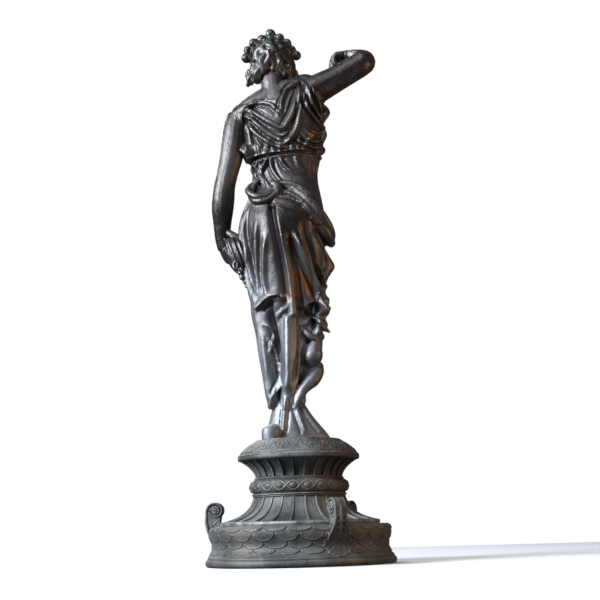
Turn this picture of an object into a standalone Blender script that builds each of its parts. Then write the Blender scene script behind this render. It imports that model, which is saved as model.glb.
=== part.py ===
"""A cast bronze statue of a draped woman who shades her eyes, standing on a round fluted plinth.

Lengths are metres, +Z is up, and the origin is the centre of the plinth's underside.
The figure faces +Y. Its left arm is on the -X side and its raised right arm on the +X side.
"""
import math

import bmesh
import bpy
import numpy as np
from mathutils import Matrix, Vector

# Driving dimensions of the plinth
GAP = 0.0003
RIM_RADIUS = 0.168
RIM_HEIGHT = 0.011
STEP_SETBACK = 0.004
STEP_HEIGHT = 0.0045
WAIST_SETBACK = 0.0145
BULGE_SETBACK = 0.009
LEDGE_SETBACK = 0.0135
DRUM_HEIGHT = 0.068
SCALE_COUNT = 24
SCALE_ROWS = 4
SCALE_RELIEF = 0.0014
PLATE_SETBACK = 0.0135
PLATE_HEIGHT = 0.0065
FLARE_SETBACK = 0.002
FLARE_HEIGHT = 0.042
FILLET_RADIUS = 0.082
FILLET_HEIGHT = 0.007
TORUS_RADIUS = 0.0875
TORUS_HEIGHT = 0.023
BEAD_RELIEF = 0.0016
COLLAR_RADIUS = 0.079
COLLAR_HEIGHT = 0.004
NECK_RADIUS = 0.0775
NECK_HEIGHT = 0.030
FLUTE_COUNT = 26
FLUTE_DEPTH = 0.0034
DISC_RADIUS = 0.1085
DISC_RIM_HEIGHT = 0.008
CHAMFER_HEIGHT = 0.028
DISC_TOP_RADIUS = 0.077
LEAF_RELIEF = 0.0012

# Driving dimensions of the three scroll brackets
SCROLL_COUNT = 3
SCROLL_BEARING = 24
SCROLL_EYE_SETBACK = 0.0085
SCROLL_EYE_HEIGHT = 0.0965
SCROLL_RADIUS = 0.0164
SCROLL_BAND = 0.0032
SCROLL_WIDTH = 0.024
SCROLL_TOE_WIDTH = 0.040
SCROLL_TURNS = 1.5
SCROLL_TOE_HEIGHT = 0.047
SCROLL_CHEEK_INSET = 0.003

# The figure is shaped on a grid whose step is a share of its height.
FIGURE_HEIGHT = 0.781
FIGURE_GRID = 781.0
FIGURE_SOLE = -5.0
CLAY_STEP = 2.6
STROKE_STEP = 2.5
FIGURE_TRIANGLES = 4300

STEP_RADIUS = RIM_RADIUS - STEP_SETBACK
WAIST_RADIUS = RIM_RADIUS - WAIST_SETBACK
BULGE_RADIUS = RIM_RADIUS - BULGE_SETBACK
LEDGE_RADIUS = RIM_RADIUS - LEDGE_SETBACK
PLATE_RADIUS = LEDGE_RADIUS - PLATE_SETBACK
FLARE_RADIUS = PLATE_RADIUS - FLARE_SETBACK
SCROLL_EYE_RADIUS = BULGE_RADIUS - SCROLL_EYE_SETBACK
SOCLE_FOOT = DRUM_HEIGHT + GAP
DISC_TOP = (SOCLE_FOOT + PLATE_HEIGHT + FLARE_HEIGHT + FILLET_HEIGHT + TORUS_HEIGHT + COLLAR_HEIGHT
            + NECK_HEIGHT + DISC_RIM_HEIGHT + CHAMFER_HEIGHT)


# Scene and finishes
def clear_scene():
    for obj in list(bpy.data.objects):
        bpy.data.objects.remove(obj)


def new_collection(name):
    collection = bpy.data.collections.new(name)
    bpy.context.scene.collection.children.link(collection)
    return collection


def bronze(name, colour, roughness):
    material = bpy.data.materials.new(name)
    material.use_nodes = True
    shader = material.node_tree.nodes["Principled BSDF"]
    shader.inputs["Base Color"].default_value = (*colour, 1)
    shader.inputs["Metallic"].default_value = 0.85
    shader.inputs["Roughness"].default_value = roughness
    return material


def place_mesh(name, mesh, collection):
    obj = bpy.data.objects.new(name, mesh)
    collection.objects.link(obj)
    return obj


def baked_mesh(obj):
    return bpy.data.meshes.new_from_object(obj.evaluated_get(bpy.context.evaluated_depsgraph_get()))


# Turned shapes of the plinth
def smooth_through(points, count):
    """Rows along a Catmull-Rom curve through the given rows."""
    p = np.array(points, float)
    if len(p) == 2:
        t = np.linspace(0, 1, count)[:, None]
        return p[0] * (1 - t) + p[1] * t
    p = np.vstack([2 * p[0] - p[1], p, 2 * p[-1] - p[-2]])
    t = np.linspace(0, len(points) - 1, count)
    i = np.minimum(t.astype(int), len(points) - 2)
    f = (t - i)[:, None]
    a, b, c, d = p[i], p[i + 1], p[i + 2], p[i + 3]
    return 0.5 * (2 * b + (c - a) * f + (2 * a - 5 * b + 4 * c - d) * f**2 + (3 * b - a - 3 * c + d) * f**3)


def turned(name, profile, steps, collection, reshape):
    """A profile of radius, height rows, top to bottom, turned about Z; reshape then carves each row."""
    mesh = bpy.data.meshes.new(name)
    mesh.from_pydata([(r, 0, z) for r, z in profile], [(k, k + 1) for k in range(len(profile) - 1)], [])
    obj = place_mesh(name, mesh, collection)
    screw = obj.modifiers.new("Turn", "SCREW")
    screw.axis = "Z"
    screw.steps = steps
    screw.render_steps = steps
    screw.use_merge_vertices = True
    screw.merge_threshold = 0.00001
    baked = baked_mesh(obj)
    obj.modifiers.clear()
    obj.data = baked
    rows = np.array(profile)
    for vertex in baked.vertices:
        x, y, z = vertex.co
        r = math.hypot(x, y)
        if r < 0.001:
            continue
        row = int(np.argmin(np.hypot(rows[:, 0] - r, rows[:, 1] - z)))
        bearing = math.atan2(y, x)
        r, z = reshape(row, bearing, r, z)
        vertex.co = (r * math.cos(bearing), r * math.sin(bearing), z)
    baked.shade_smooth()
    baked.set_sharp_from_angle(angle=math.radians(28))
    return obj


WALL_FOOT = RIM_HEIGHT + 2 * STEP_HEIGHT
WALL_TOP = DRUM_HEIGHT - 0.002


def wall_radius(z):
    """Radius of the drum's bare wall: a belly above, a hollow waist below, flaring to the rim."""
    share = (z - WALL_FOOT) / (WALL_TOP - WALL_FOOT)
    heights = (0, 0.16, 0.34, 0.52, 0.7, 0.88, 1)
    middle = (WAIST_RADIUS + BULGE_RADIUS) / 2
    radii = (STEP_RADIUS - 0.004, middle, WAIST_RADIUS, middle, BULGE_RADIUS, BULGE_RADIUS - 0.0005, LEDGE_RADIUS + 0.001)
    return float(np.interp(share, heights, radii))


SCALE_ROW_HEIGHT = (WALL_TOP - WALL_FOOT) / (SCALE_ROWS - 0.32)


def scale_edge(row, bearing):
    """Height of the lower edge of one row of scales; the rows are staggered by half a scale."""
    pitch = 2 * math.pi / SCALE_COUNT
    across = ((bearing + row % 2 * pitch / 2) / pitch) % 1
    rise = 1 - math.sqrt(max(0.0, 1 - (2 * across - 1) ** 2))
    tip = WALL_TOP - (row + 0.62) * SCALE_ROW_HEIGHT
    return min(tip + rise * SCALE_ROW_HEIGHT * 0.97, WALL_TOP - 0.0012)


def base_drum(collection):
    profile = [(0, DRUM_HEIGHT), (LEDGE_RADIUS, DRUM_HEIGHT), (LEDGE_RADIUS + 0.001, WALL_TOP)]
    edge_rows = {}
    for row in range(SCALE_ROWS):
        middle = WALL_TOP - (row + 0.3) * SCALE_ROW_HEIGHT
        edge_rows[len(profile)] = (row, SCALE_RELIEF, 0.0)
        profile.append((wall_radius(middle) + 0.0002, middle))
        edge_rows[len(profile)] = (row, 0.0, -0.0005)
        profile.append((wall_radius(middle) - 0.0002, middle - 0.0008))
    profile += [
        (STEP_RADIUS, RIM_HEIGHT + STEP_HEIGHT), (STEP_RADIUS, RIM_HEIGHT + 0.001),
        (RIM_RADIUS, RIM_HEIGHT * 0.7), (RIM_RADIUS, 0), (0, 0),
    ]

    def scales(row, bearing, r, z):
        if row not in edge_rows:
            return r, z
        scale_row, relief, drop = edge_rows[row]
        z = scale_edge(scale_row, bearing) + drop
        return wall_radius(z) + relief, z

    return turned("base_drum", profile, SCALE_COUNT * 4, collection, scales)


def fluted_socle(collection):
    z = DISC_TOP
    profile = [(0, z), (DISC_TOP_RADIUS, z)]
    disc_edge = DISC_TOP - CHAMFER_HEIGHT
    leaf_rows = {}
    for share in (0.25, 0.75):
        leaf_rows[len(profile)] = 1 if share > 0.5 else -1
        r = DISC_RADIUS - (DISC_RADIUS - DISC_TOP_RADIUS) * (1 - share) ** 1.25
        profile.append((r, DISC_TOP - CHAMFER_HEIGHT * share))
    profile += [(DISC_RADIUS, disc_edge), (DISC_RADIUS, disc_edge - DISC_RIM_HEIGHT * 0.8)]
    neck_top = disc_edge - DISC_RIM_HEIGHT
    flute_rows = []
    for share in (1, 0.6, 0.05):
        flute_rows.append(len(profile))
        flare = (DISC_RADIUS - 0.003 - NECK_RADIUS) * share**1.9
        profile.append((NECK_RADIUS + flare, neck_top - NECK_HEIGHT * (1 - share)))
    collar_top = neck_top - NECK_HEIGHT
    torus_top = collar_top - COLLAR_HEIGHT
    torus_foot = torus_top - TORUS_HEIGHT
    profile += [(COLLAR_RADIUS, collar_top), (COLLAR_RADIUS, torus_top)]
    bead_rows = []
    for share in (0.18, 0.5, 0.82):
        swell = math.sin(math.pi * share) ** 0.5
        bead_rows.append(len(profile))
        profile.append((FILLET_RADIUS + (TORUS_RADIUS - FILLET_RADIUS) * swell, torus_top - TORUS_HEIGHT * share))
    fillet_foot = torus_foot - FILLET_HEIGHT
    profile += [(FILLET_RADIUS, torus_foot), (FILLET_RADIUS, fillet_foot)]
    for r_share, z_share in ((0.0, 0.02), (0.12, 0.38), (0.32, 0.62), (0.62, 0.83), (1, 1)):
        flute_rows.append(len(profile))
        profile.append((FILLET_RADIUS + 0.001 + (FLARE_RADIUS - FILLET_RADIUS - 0.001) * r_share,
                        fillet_foot - FLARE_HEIGHT * z_share))
    profile += [(PLATE_RADIUS, SOCLE_FOOT + PLATE_HEIGHT), (PLATE_RADIUS, SOCLE_FOOT), (0, SOCLE_FOOT)]

    def flutes(row, bearing, r, z):
        ridge = math.cos(FLUTE_COUNT * bearing)
        if row in flute_rows:
            r -= FLUTE_DEPTH * (1 - ridge) / 2
        elif row in bead_rows:
            r += BEAD_RELIEF * ridge
        elif row in leaf_rows:
            r += LEAF_RELIEF * ridge * leaf_rows[row]
        return r, z

    return turned("fluted_socle", profile, FLUTE_COUNT * 2, collection, flutes)


def scroll_path():
    """The bracket's band, from its toe on the drum up and round into the volute: radius, height, width, depth."""
    path = []
    clear = SCALE_RELIEF + GAP + SCROLL_BAND / 2
    for share in (0, 0.4, 0.8):
        z = SCROLL_TOE_HEIGHT + (WALL_TOP - SCROLL_TOE_HEIGHT) * share
        width = SCROLL_TOE_WIDTH + (SCROLL_WIDTH - SCROLL_TOE_WIDTH) * share
        path.append((BULGE_RADIUS + clear + 0.0025 * share - 0.0018 * (1 - share) ** 2, z, width, SCROLL_BAND))
    reach = SCROLL_RADIUS - SCROLL_BAND / 2
    path.append((SCROLL_EYE_RADIUS + reach + 0.0004, (WALL_TOP + SCROLL_EYE_HEIGHT) / 2, SCROLL_WIDTH, SCROLL_BAND))
    steps = round(SCROLL_TURNS * 8)
    for k in range(steps + 1):
        turn = 2 * math.pi * SCROLL_TURNS * k / steps - 0.2
        r = reach * (1 - 0.68 * k / steps)
        width = SCROLL_WIDTH * (1 - 0.1 * k / steps)
        path.append((SCROLL_EYE_RADIUS + r * math.cos(turn), SCROLL_EYE_HEIGHT + r * math.sin(turn), width,
                     SCROLL_BAND * (1 - 0.35 * k / steps)))
    return path


def scroll_band():
    """The rolled band of a bracket that stands on the +X side, crowned along its middle."""
    path = scroll_path()
    rings = []
    for i, (r, z, width, depth) in enumerate(path):
        ahead = Vector(path[min(i + 1, len(path) - 1)][:2]) - Vector(path[max(i - 1, 0)][:2])
        out = Vector((ahead.y, -ahead.x)).normalized()
        rings.append([
            Vector((r + out.x * side * depth / 2, across * width / 2, z + out.y * side * depth / 2))
            for side, across in ((-1, -1), (1, -1), (1.3, 0), (1, 1), (-1, 1))
        ])
    bm = bmesh.new()
    skin_rings(bm, rings)
    bmesh.ops.recalc_face_normals(bm, faces=bm.faces)
    mesh = bpy.data.meshes.new("scroll_band")
    bm.to_mesh(mesh)
    bm.free()
    return mesh


def scroll_cheeks():
    """The solid web inside the band: the volute's cheeks and the foot that stands on the drum's ledge."""
    half = SCROLL_WIDTH / 2 - SCROLL_CHEEK_INSET
    radius = SCROLL_RADIUS - SCROLL_BAND * 0.55
    outline = [(PLATE_RADIUS + GAP + 0.0007, DRUM_HEIGHT + GAP), (PLATE_RADIUS + GAP + 0.0007, DRUM_HEIGHT + PLATE_HEIGHT)]
    for k in range(9):
        turn = math.radians(232 - 29 * k)
        outline.append((SCROLL_EYE_RADIUS + radius * math.cos(turn), SCROLL_EYE_HEIGHT + radius * math.sin(turn)))
    path = scroll_path()
    outline += [(path[k][0] - 0.0001, path[k][1]) for k in (3, 2)]
    outline.append((path[2][0] - 0.0004, DRUM_HEIGHT + GAP))
    bm = bmesh.new()
    skin_rings(bm, [[Vector((r, y, z)) for r, z in outline] for y in (-half, half)])
    bmesh.ops.recalc_face_normals(bm, faces=bm.faces)
    mesh = bpy.data.meshes.new("scroll_cheeks")
    bm.to_mesh(mesh)
    bm.free()
    return mesh


def scroll_eye():
    """A round boss at the middle of the volute, showing on both cheeks."""
    bm = bmesh.new()
    spin = Matrix.Translation((SCROLL_EYE_RADIUS, 0, SCROLL_EYE_HEIGHT)) @ Matrix.Rotation(math.pi / 2, 4, "X")
    radius = SCROLL_RADIUS * 0.24
    bmesh.ops.create_cone(bm, cap_ends=True, segments=10, radius1=radius, radius2=radius, depth=SCROLL_WIDTH + SCROLL_BAND, matrix=spin)
    mesh = bpy.data.meshes.new("scroll_eye")
    bm.to_mesh(mesh)
    bm.free()
    return mesh


def scroll_brackets(collection, cutters):
    made = place_mesh("scroll_bracket_1", scroll_band(), collection)
    for name, mesh in (("scroll_cheeks", scroll_cheeks()), ("scroll_eye", scroll_eye())):
        tool = place_mesh(name, mesh, cutters)
        tool.hide_render = True
        tool.display_type = "WIRE"
        join = made.modifiers.new("Join " + name, "BOOLEAN")
        join.operation = "UNION"
        join.object = tool
    joined = baked_mesh(made)
    made.modifiers.clear()
    made.data = joined
    joined.shade_smooth()
    joined.set_sharp_from_angle(angle=math.radians(35))
    brackets = [made]
    for k in range(1, SCROLL_COUNT):
        brackets.append(place_mesh("scroll_bracket_%d" % (k + 1), joined, collection))
    for k, bracket in enumerate(brackets):
        bracket.rotation_euler.z = math.radians(SCROLL_BEARING - 90) + 2 * math.pi * k / SCROLL_COUNT
    return brackets


# Building blocks of the figure, in grid steps
def skin_rings(bm, rings):
    """Joins rings of points into one closed skin with flat ends."""
    made = [[bm.verts.new(p) for p in ring] for ring in rings]
    for lower, upper in zip(made, made[1:]):
        for k in range(len(lower)):
            n = (k + 1) % len(lower)
            bm.faces.new((lower[k], lower[n], upper[n], upper[k]))
    bm.faces.new(made[0][::-1])
    bm.faces.new(made[-1])


def add_mass(bm, rows, sides=48, rings=60):
    """A standing mass: rows of height, left, right, back, front and how far the right edge rises."""
    sections = []
    for h, left, right, back, front, rise in smooth_through(rows, rings):
        cx, cy, a, b = (left + right) / 2, (back + front) / 2, (right - left) / 2, (front - back) / 2
        ring = []
        for k in range(sides):
            t = 2 * math.pi * k / sides
            ring.append(Vector((cx + a * math.cos(t), cy + b * math.sin(t), h + rise * math.cos(t) / 2)))
        sections.append(ring)
    skin_rings(bm, sections)


def add_limb(bm, rows, flat=None, sides=16, rings=24):
    """A tapering round limb: rows of x, y, height, radius; with flat, a second radius across that direction."""
    samples = smooth_through(rows, rings)
    centres = [Vector(r[:3]) for r in samples]
    sections = []
    across = Vector(flat) if flat else None
    for i, centre in enumerate(centres):
        ahead = (centres[min(i + 1, len(centres) - 1)] - centres[max(i - 1, 0)]).normalized()
        if across is None:
            across = ahead.orthogonal()
        side = (across - ahead * across.dot(ahead)).normalized()
        if flat is None:
            across = side
        up = ahead.cross(side)
        r1 = samples[i][3]
        r2 = samples[i][4] if flat else r1
        sections.append([
            centre + side * (r1 * math.cos(2 * math.pi * k / sides)) + up * (r2 * math.sin(2 * math.pi * k / sides))
            for k in range(sides)
        ])
    # A smaller ring beyond each end rounds it.
    first, last = centres[0], centres[-1]
    back = (first - centres[1]).normalized() * min(samples[0][3:5]) * 0.6
    on = (last - centres[-2]).normalized() * min(samples[-1][3:5]) * 0.6
    sections.insert(0, [first + back + (p - first) * 0.55 for p in sections[0]])
    sections.append([last + on + (p - last) * 0.55 for p in sections[-1]])
    skin_rings(bm, sections)


def add_blob(bm, centre, radii, turn=(0, 0, 0)):
    """An ellipsoid, turned by degrees about x, y and z."""
    angles = [math.radians(a) for a in turn]
    spin = Matrix.Rotation(angles[2], 4, "Z") @ Matrix.Rotation(angles[1], 4, "Y") @ Matrix.Rotation(angles[0], 4, "X")
    ball = bmesh.new()
    bmesh.ops.create_uvsphere(ball, u_segments=18, v_segments=12, radius=1)
    mesh = bpy.data.meshes.new("ball")
    ball.to_mesh(mesh)
    ball.free()
    mesh.transform(Matrix.Translation(centre) @ spin @ Matrix.Diagonal((*radii, 1)))
    bm.from_mesh(mesh)
    bpy.data.meshes.remove(mesh)


def fused(bm, name, step, soften):
    """One closed skin round everything in bm, softened by a number of passes."""
    bmesh.ops.recalc_face_normals(bm, faces=bm.faces)
    mesh = bpy.data.meshes.new(name)
    bm.to_mesh(mesh)
    bm.free()
    obj = bpy.data.objects.new(name, mesh)
    bpy.context.scene.collection.objects.link(obj)
    remesh = obj.modifiers.new("Remesh", "REMESH")
    remesh.mode = "VOXEL"
    remesh.voxel_size = step
    if soften:
        smooth = obj.modifiers.new("Smooth", "SMOOTH")
        smooth.factor = 0.5
        smooth.iterations = soften
    baked = baked_mesh(obj)
    obj.modifiers.clear()
    obj.data = baked
    return obj


class Clay:
    """A skin that folds are pressed into: each stroke follows a curve laid on the skin from one side."""

    def __init__(self, obj):
        self.obj = obj
        mesh = obj.data
        count = len(mesh.vertices)
        self.points = np.empty(count * 3)
        mesh.vertices.foreach_get("co", self.points)
        self.points = self.points.reshape(-1, 3)
        self.normals = np.empty(count * 3)
        mesh.vertices.foreach_get("normal", self.normals)
        self.normals = self.normals.reshape(-1, 3)
        self.lift = np.zeros(count)

    def cast(self, side, a, h):
        """The skin's point and normal under a place seen from the back, front, left, right or all round."""
        if side == "back":
            start, way = Vector((a, -300, h)), Vector((0, 1, 0))
        elif side == "front":
            start, way = Vector((a, 300, h)), Vector((0, -1, 0))
        elif side == "left":
            start, way = Vector((-300, a, h)), Vector((1, 0, 0))
        elif side == "right":
            start, way = Vector((300, a, h)), Vector((-1, 0, 0))
        else:
            bearing = math.radians(a)
            way = Vector((-math.sin(bearing), math.cos(bearing), 0))
            start = Vector((-8, 6, h)) - way * 300
        hit, point, normal, _ = self.obj.ray_cast(start, way)
        return (point, normal) if hit else None

    def stroke(self, side, points, width, height, kind="ridge", fade=(0.2, 0.2)):
        run = float(np.hypot(*np.diff(np.array(points, float), axis=0).T).sum())
        flat = smooth_through(points, max(8, int(run / STROKE_STEP)))
        hits = [h for h in (self.cast(side, a, b) for a, b in flat) if h]
        if len(hits) < 4:
            return
        path = np.array([h[0] for h in hits])
        facing = np.array([h[1] for h in hits])
        along = np.gradient(path, axis=0)
        along /= np.linalg.norm(along, axis=1)[:, None] + 1e-9
        reach = width * 3.2
        low, high = path.min(axis=0) - reach, path.max(axis=0) + reach
        near = np.flatnonzero(np.all((self.points > low) & (self.points < high), axis=1))
        if not len(near):
            return
        spots = self.points[near]
        squared = (spots**2).sum(1)[:, None] + (path**2).sum(1)[None] - 2 * spots @ path.T
        nearest = squared.argmin(axis=1)
        away = spots - path[nearest]
        forward = (away * along[nearest]).sum(1)
        cross = np.cross(facing[nearest], along[nearest])
        sideways = (away * cross).sum(1)
        distance = np.sqrt(np.maximum((away**2).sum(1) - forward**2, 0)) * np.sign(sideways)
        share = (nearest + 0.5) / len(path)
        # The stroke tapers over its ends and stops where it ends.
        strength = np.clip(share / max(fade[0], 0.02), 0, 1) * np.clip((1 - share) / max(fade[1], 0.02), 0, 1)
        strength = strength * strength * (3 - 2 * strength)
        strength *= np.exp(-np.maximum(np.abs(forward) - 2, 0) / width)
        strength *= (self.normals[near] * facing[nearest]).sum(1) > 0.05
        s = distance / width
        if kind == "ridge":
            shape = np.exp(-2 * s * s)
        elif kind == "crease":
            shape = -np.exp(-2.2 * np.abs(s))
        elif kind == "pipe":
            shape = np.exp(-2 * s * s) - 0.75 * np.exp(-9 * (np.abs(s) - 1.15) ** 2)
        else:
            shape = np.where(s > 0, np.exp(-0.35 * s * s), 0) - 0.35 * np.exp(-6 * (s + 0.5) ** 2)
        self.lift[near] += height * strength * shape

    def family(self, side, first, last, count, width, height, kind="pipe", fade=(0.2, 0.2)):
        """Strokes spread evenly from the first curve to the last."""
        number = max(len(first), len(last)) * 3
        start, end = smooth_through(first, number), smooth_through(last, number)
        for k in range(count):
            t = k / max(count - 1, 1)
            grow = 1 + 0.18 * math.sin(2.4 * k + 0.7)
            self.stroke(side, start * (1 - t) + end * t, width, height * grow, kind, fade)

    def settle(self):
        """Moves the skin by what the strokes add up to."""
        self.points += self.normals * self.lift[:, None]
        self.obj.data.vertices.foreach_set("co", self.points.ravel())
        self.obj.data.update()
        self.lift[:] = 0


# The clothed body: height, left, right, back, front and the right edge's rise
GOWN_ROWS = (
    (28, -40, 12, -16, 30, 0),
    (60, -38, 10, -14, 28, 0),
    (90, -42, 14, -14, 32, 0),
    (130, -50, 22, -18, 40, 0),
    (170, -56, 30, -22, 50, 0),
    (210, -64, 40, -28, 58, 0),
    (236, -72, 44, -38, 62, 0),
    (250, -79, 48, -45, 64, 0),
    (270, -82, 50, -48, 62, 0),
    (300, -85, 54, -54, 60, 0),
    (330, -89, 58, -60, 58, 0),
    (360, -93, 60, -65, 57, 2),
    (385, -95, 61, -67, 57, 4),
    (410, -94, 60, -63, 58, 6),
    (432, -91, 57, -54, 58, 8),
    (450, -84, 54, -44, 56, 8),
    (470, -76, 51, -34, 53, 6),
    (490, -71, 50, -29, 50, 4),
    (514, -71, 52, -31, 49, 4),
    (525, -82, 54, -37, 54, 5),
    (538, -87, 56, -41, 57, 9),
    (560, -89, 58, -45, 64, 20),
    (580, -91, 60, -49, 66, 30),
    (600, -92, 62, -50, 60, 36),
    (618, -92, 62, -48, 46, 42),
    (632, -84, 58, -43, 32, 44),
    (645, -64, 48, -34, 18, 40),
)
SIDE_FOLD_ROWS = (
    (634, 26, 54, -16, 18, 0),
    (622, 26, 67, -13, 17, 0),
    (610, 26, 73, -12, 15, 0),
    (600, 26, 66, -14, 16, 0),
    (589, 26, 60, -15, 17, 0),
    (577, 26, 63, -13, 16, 0),
    (566, 26, 67, -12, 16, 0),
    (557, 26, 62, -14, 16, 0),
    (546, 26, 58, -16, 16, 0),
    (537, 26, 63, -15, 16, 0),
    (527, 26, 60, -16, 16, 0),
    (519, 26, 54, -14, 14, 0),
)
FLAG_ROWS = (
    (366, 14, 46, -26, 34, 0),
    (345, 18, 60, -24, 32, 0),
    (328, 22, 70, -17, 28, 0),
    (313, 24, 77, -12, 24, 0),
    (300, 24, 69, -14, 26, 0),
    (288, 24, 62, -17, 28, 0),
    (270, 22, 57, -20, 28, 0),
    (252, 20, 60, -20, 26, 0),
    (232, 16, 63, -20, 24, 0),
    (220, 14, 54, -21, 22, 0),
    (211, 14, 55, -20, 20, 0),
    (204, 13, 60, -17, 17, 0),
    (196, 12, 51, -19, 17, 0),
    (188, 11, 50, -18, 16, 0),
    (183, 11, 55, -15, 15, 0),
    (174, 12, 46, -13, 15, 0),
    (150, 12, 42, -6, 15, 0),
    (110, 10, 40, -4, 15, 0),
    (84, 6, 24, -2, 12, 0),
)


def add_body(bm):
    add_mass(bm, GOWN_ROWS)
    add_mass(bm, SIDE_FOLD_ROWS, sides=24, rings=60)
    add_mass(bm, FLAG_ROWS, sides=24, rings=60)
    # Shoulder line, neck and breast
    add_limb(bm, ((-96, -2, 604, 23), (-66, -8, 622, 25), (-30, -10, 640, 27), (8, -6, 654, 26), (40, 0, 652, 25)))
    add_limb(bm, ((-26, -14, 628, 27), (-29, -13, 650, 24), (-32, -11, 672, 22), (-33, -2, 696, 22)))
    # Cloth gathered on the right shoulder
    add_limb(bm, ((12, -8, 662, 14), (28, -4, 671, 17), (42, 0, 671, 16)))
    add_blob(bm, (-46, 42, 583), (25, 25, 24))
    add_blob(bm, (12, 44, 592), (25, 25, 24))
    # Seat under the cloth
    add_blob(bm, (-48, -20, 372), (40, 36, 54))
    add_blob(bm, (14, -20, 378), (38, 36, 54))
    # Puff of cloth over the belt on the left
    add_blob(bm, (-74, -12, 533), (17, 15, 12), (0, 14, 0))


def add_legs(bm):
    # Left leg with the cloth close round it
    add_limb(bm, ((-52, 0, 262, 29), (-54, 0, 225, 26), (-53, -4, 192, 20), (-51, -8, 160, 18),
                  (-48, -10, 130, 16.5), (-46, -10, 100, 14), (-45, -8, 78, 12), (-42, -6, 58, 10)))
    # Right leg crossing behind it
    add_limb(bm, ((-8, -8, 250, 29), (-8, -12, 210, 25), (-8, -18, 172, 21), (-9, -20, 140, 19),
                  (-11, -18, 110, 17), (-14, -14, 80, 15), (-16, -8, 52, 17)))
    # The long fold that runs unbroken from the seat to the floor
    add_limb(bm, ((-6, -24, 290, 22), (-6, -22, 250, 22), (-7, -19, 212, 20), (-9, -19, 176, 18)))
    # Cloth in front of the legs
    add_limb(bm, ((20, 14, 250, 32), (22, 16, 205, 26), (20, 16, 160, 22), (12, 14, 118, 17), (2, 10, 78, 15)))
    add_limb(bm, ((-30, 34, 240, 28), (-32, 34, 190, 25), (-28, 30, 130, 22), (-22, 24, 80, 20), (-18, 20, 44, 20)))


def add_hem_and_feet(bm):
    add_mass(bm, ((-8, -56, 60, -26, 44, 0), (3, -56, 56, -27, 44, 0), (18, -54, 44, -27, 41, 0), (34, -50, 31, -25, 37, 0),
                  (50, -46, 20, -22, 33, 0), (66, -40, 12, -18, 30, 0)), sides=32, rings=20)
    # Heel of the left foot, its toes and the toes of the right
    add_mass(bm, ((-8, -64, -31, -38, -8, 0), (13, -64, -31, -38, -8, 0), (18, -59, -35, -34, -12, 0)), sides=24, rings=14)
    add_limb(bm, ((-45, -27, 8, 14, 16), (-45, -6, 8, 14, 18), (-42, 28, 5, 11, 17), (-40, 52, 2, 7, 15)), flat=(0, 0, 1))
    add_limb(bm, ((6, 20, 8, 13, 17), (14, 36, 5, 10, 16), (19, 54, 2, 7, 14)), flat=(0, 0, 1))


def press_bodice(clay):
    # Upper edge of the cloth, dipping to a point right of the spine
    clay.stroke("back", ((-90, 616), (-60, 621), (-36, 614), (-25, 603), (-18, 590)), 5.5, 5.5, "pipe", (0.12, 0.15))
    clay.stroke("back", ((-18, 588), (-16, 607), (-11, 628), (2, 653), (20, 662)), 5.5, 6, "pipe", (0.15, 0.1))
    # Swags hanging between the two shoulder clasps
    clay.stroke("back", ((-82, 615), (-70, 605), (-49, 587), (-28, 573), (-14, 567), (-5, 578), (5, 597), (15, 627), (22, 658)),
                6.5, 7, "pipe", (0.08, 0.08))
    clay.stroke("back", ((-70, 590), (-50, 572), (-30, 560), (-12, 554), (0, 566), (9, 590), (16, 620)), 4.5, 4, "ridge", (0.2, 0.2))
    clay.stroke("back", ((-82, 608), (-63, 582), (-45, 562), (-26, 549), (-10, 542), (4, 555), (14, 578), (20, 613), (24, 650)),
                6.5, 7.5, "pipe", (0.08, 0.1))
    clay.stroke("back", ((-83, 603), (-70, 573), (-57, 557), (-38, 542), (-20, 534), (0, 538)), 6, 7, "pipe", (0.08, 0.2))
    # Steep folds falling from the right clasp, and low ones under the arm
    clay.stroke("back", ((23, 664), (23, 626), (24, 601)), 3.4, -5, "ridge", (0.1, 0.3))
    clay.stroke("back", ((30, 664), (38, 629), (47, 606), (58, 590)), 6, 7.5, "pipe", (0.1, 0.2))
    clay.stroke("back", ((38, 660), (51, 628), (61, 604)), 5, 6.5, "pipe", (0.1, 0.2))
    clay.stroke("back", ((27, 648), (28, 624), (36, 603), (51, 586), (64, 577)), 5.5, 7, "pipe", (0.15, 0.15))
    clay.stroke("back", ((20, 560), (33, 547), (48, 549), (60, 558)), 5.5, 6, "pipe", (0.2, 0.15))
    clay.stroke("back", ((28, 576), (42, 566), (60, 567)), 4.5, 4.5, "ridge", (0.25, 0.15))
    clay.stroke("back", ((8, 548), (24, 540), (44, 536), (60, 540)), 5, 5, "pipe", (0.25, 0.15))
    # Armhole slot and the free edge beside it
    clay.stroke("back", ((-80, 596), (-75, 575), (-72, 556), (-70, 542)), 4.5, -10, "ridge", (0.1, 0.2))
    clay.stroke("back", ((-90, 608), (-88, 588), (-88, 566), (-83, 541), (-79, 528)), 4.5, 6, "ridge", (0.1, 0.1))
    clay.stroke("back", ((-66, 558), (-58, 545), (-52, 534)), 4, 5, "ridge", (0.2, 0.2))
    clay.family("right", ((-4, 640), (-2, 600), (-4, 560), (-2, 540)), ((36, 640), (30, 600), (34, 560), (28, 540)),
                3, 6, 5, "pipe", (0.2, 0.2))
    clay.family("front", ((-92, 606), (-66, 596), (-24, 584), (8, 600), (34, 650)),
                ((-88, 592), (-66, 556), (-22, 540), (16, 552), (40, 630)), 5, 6, 5.5, "pipe", (0.08, 0.08))
    clay.family("front", ((44, 644), (46, 600), (42, 548)), ((54, 640), (56, 590), (54, 544)), 2, 5, 4, "pipe")


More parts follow.
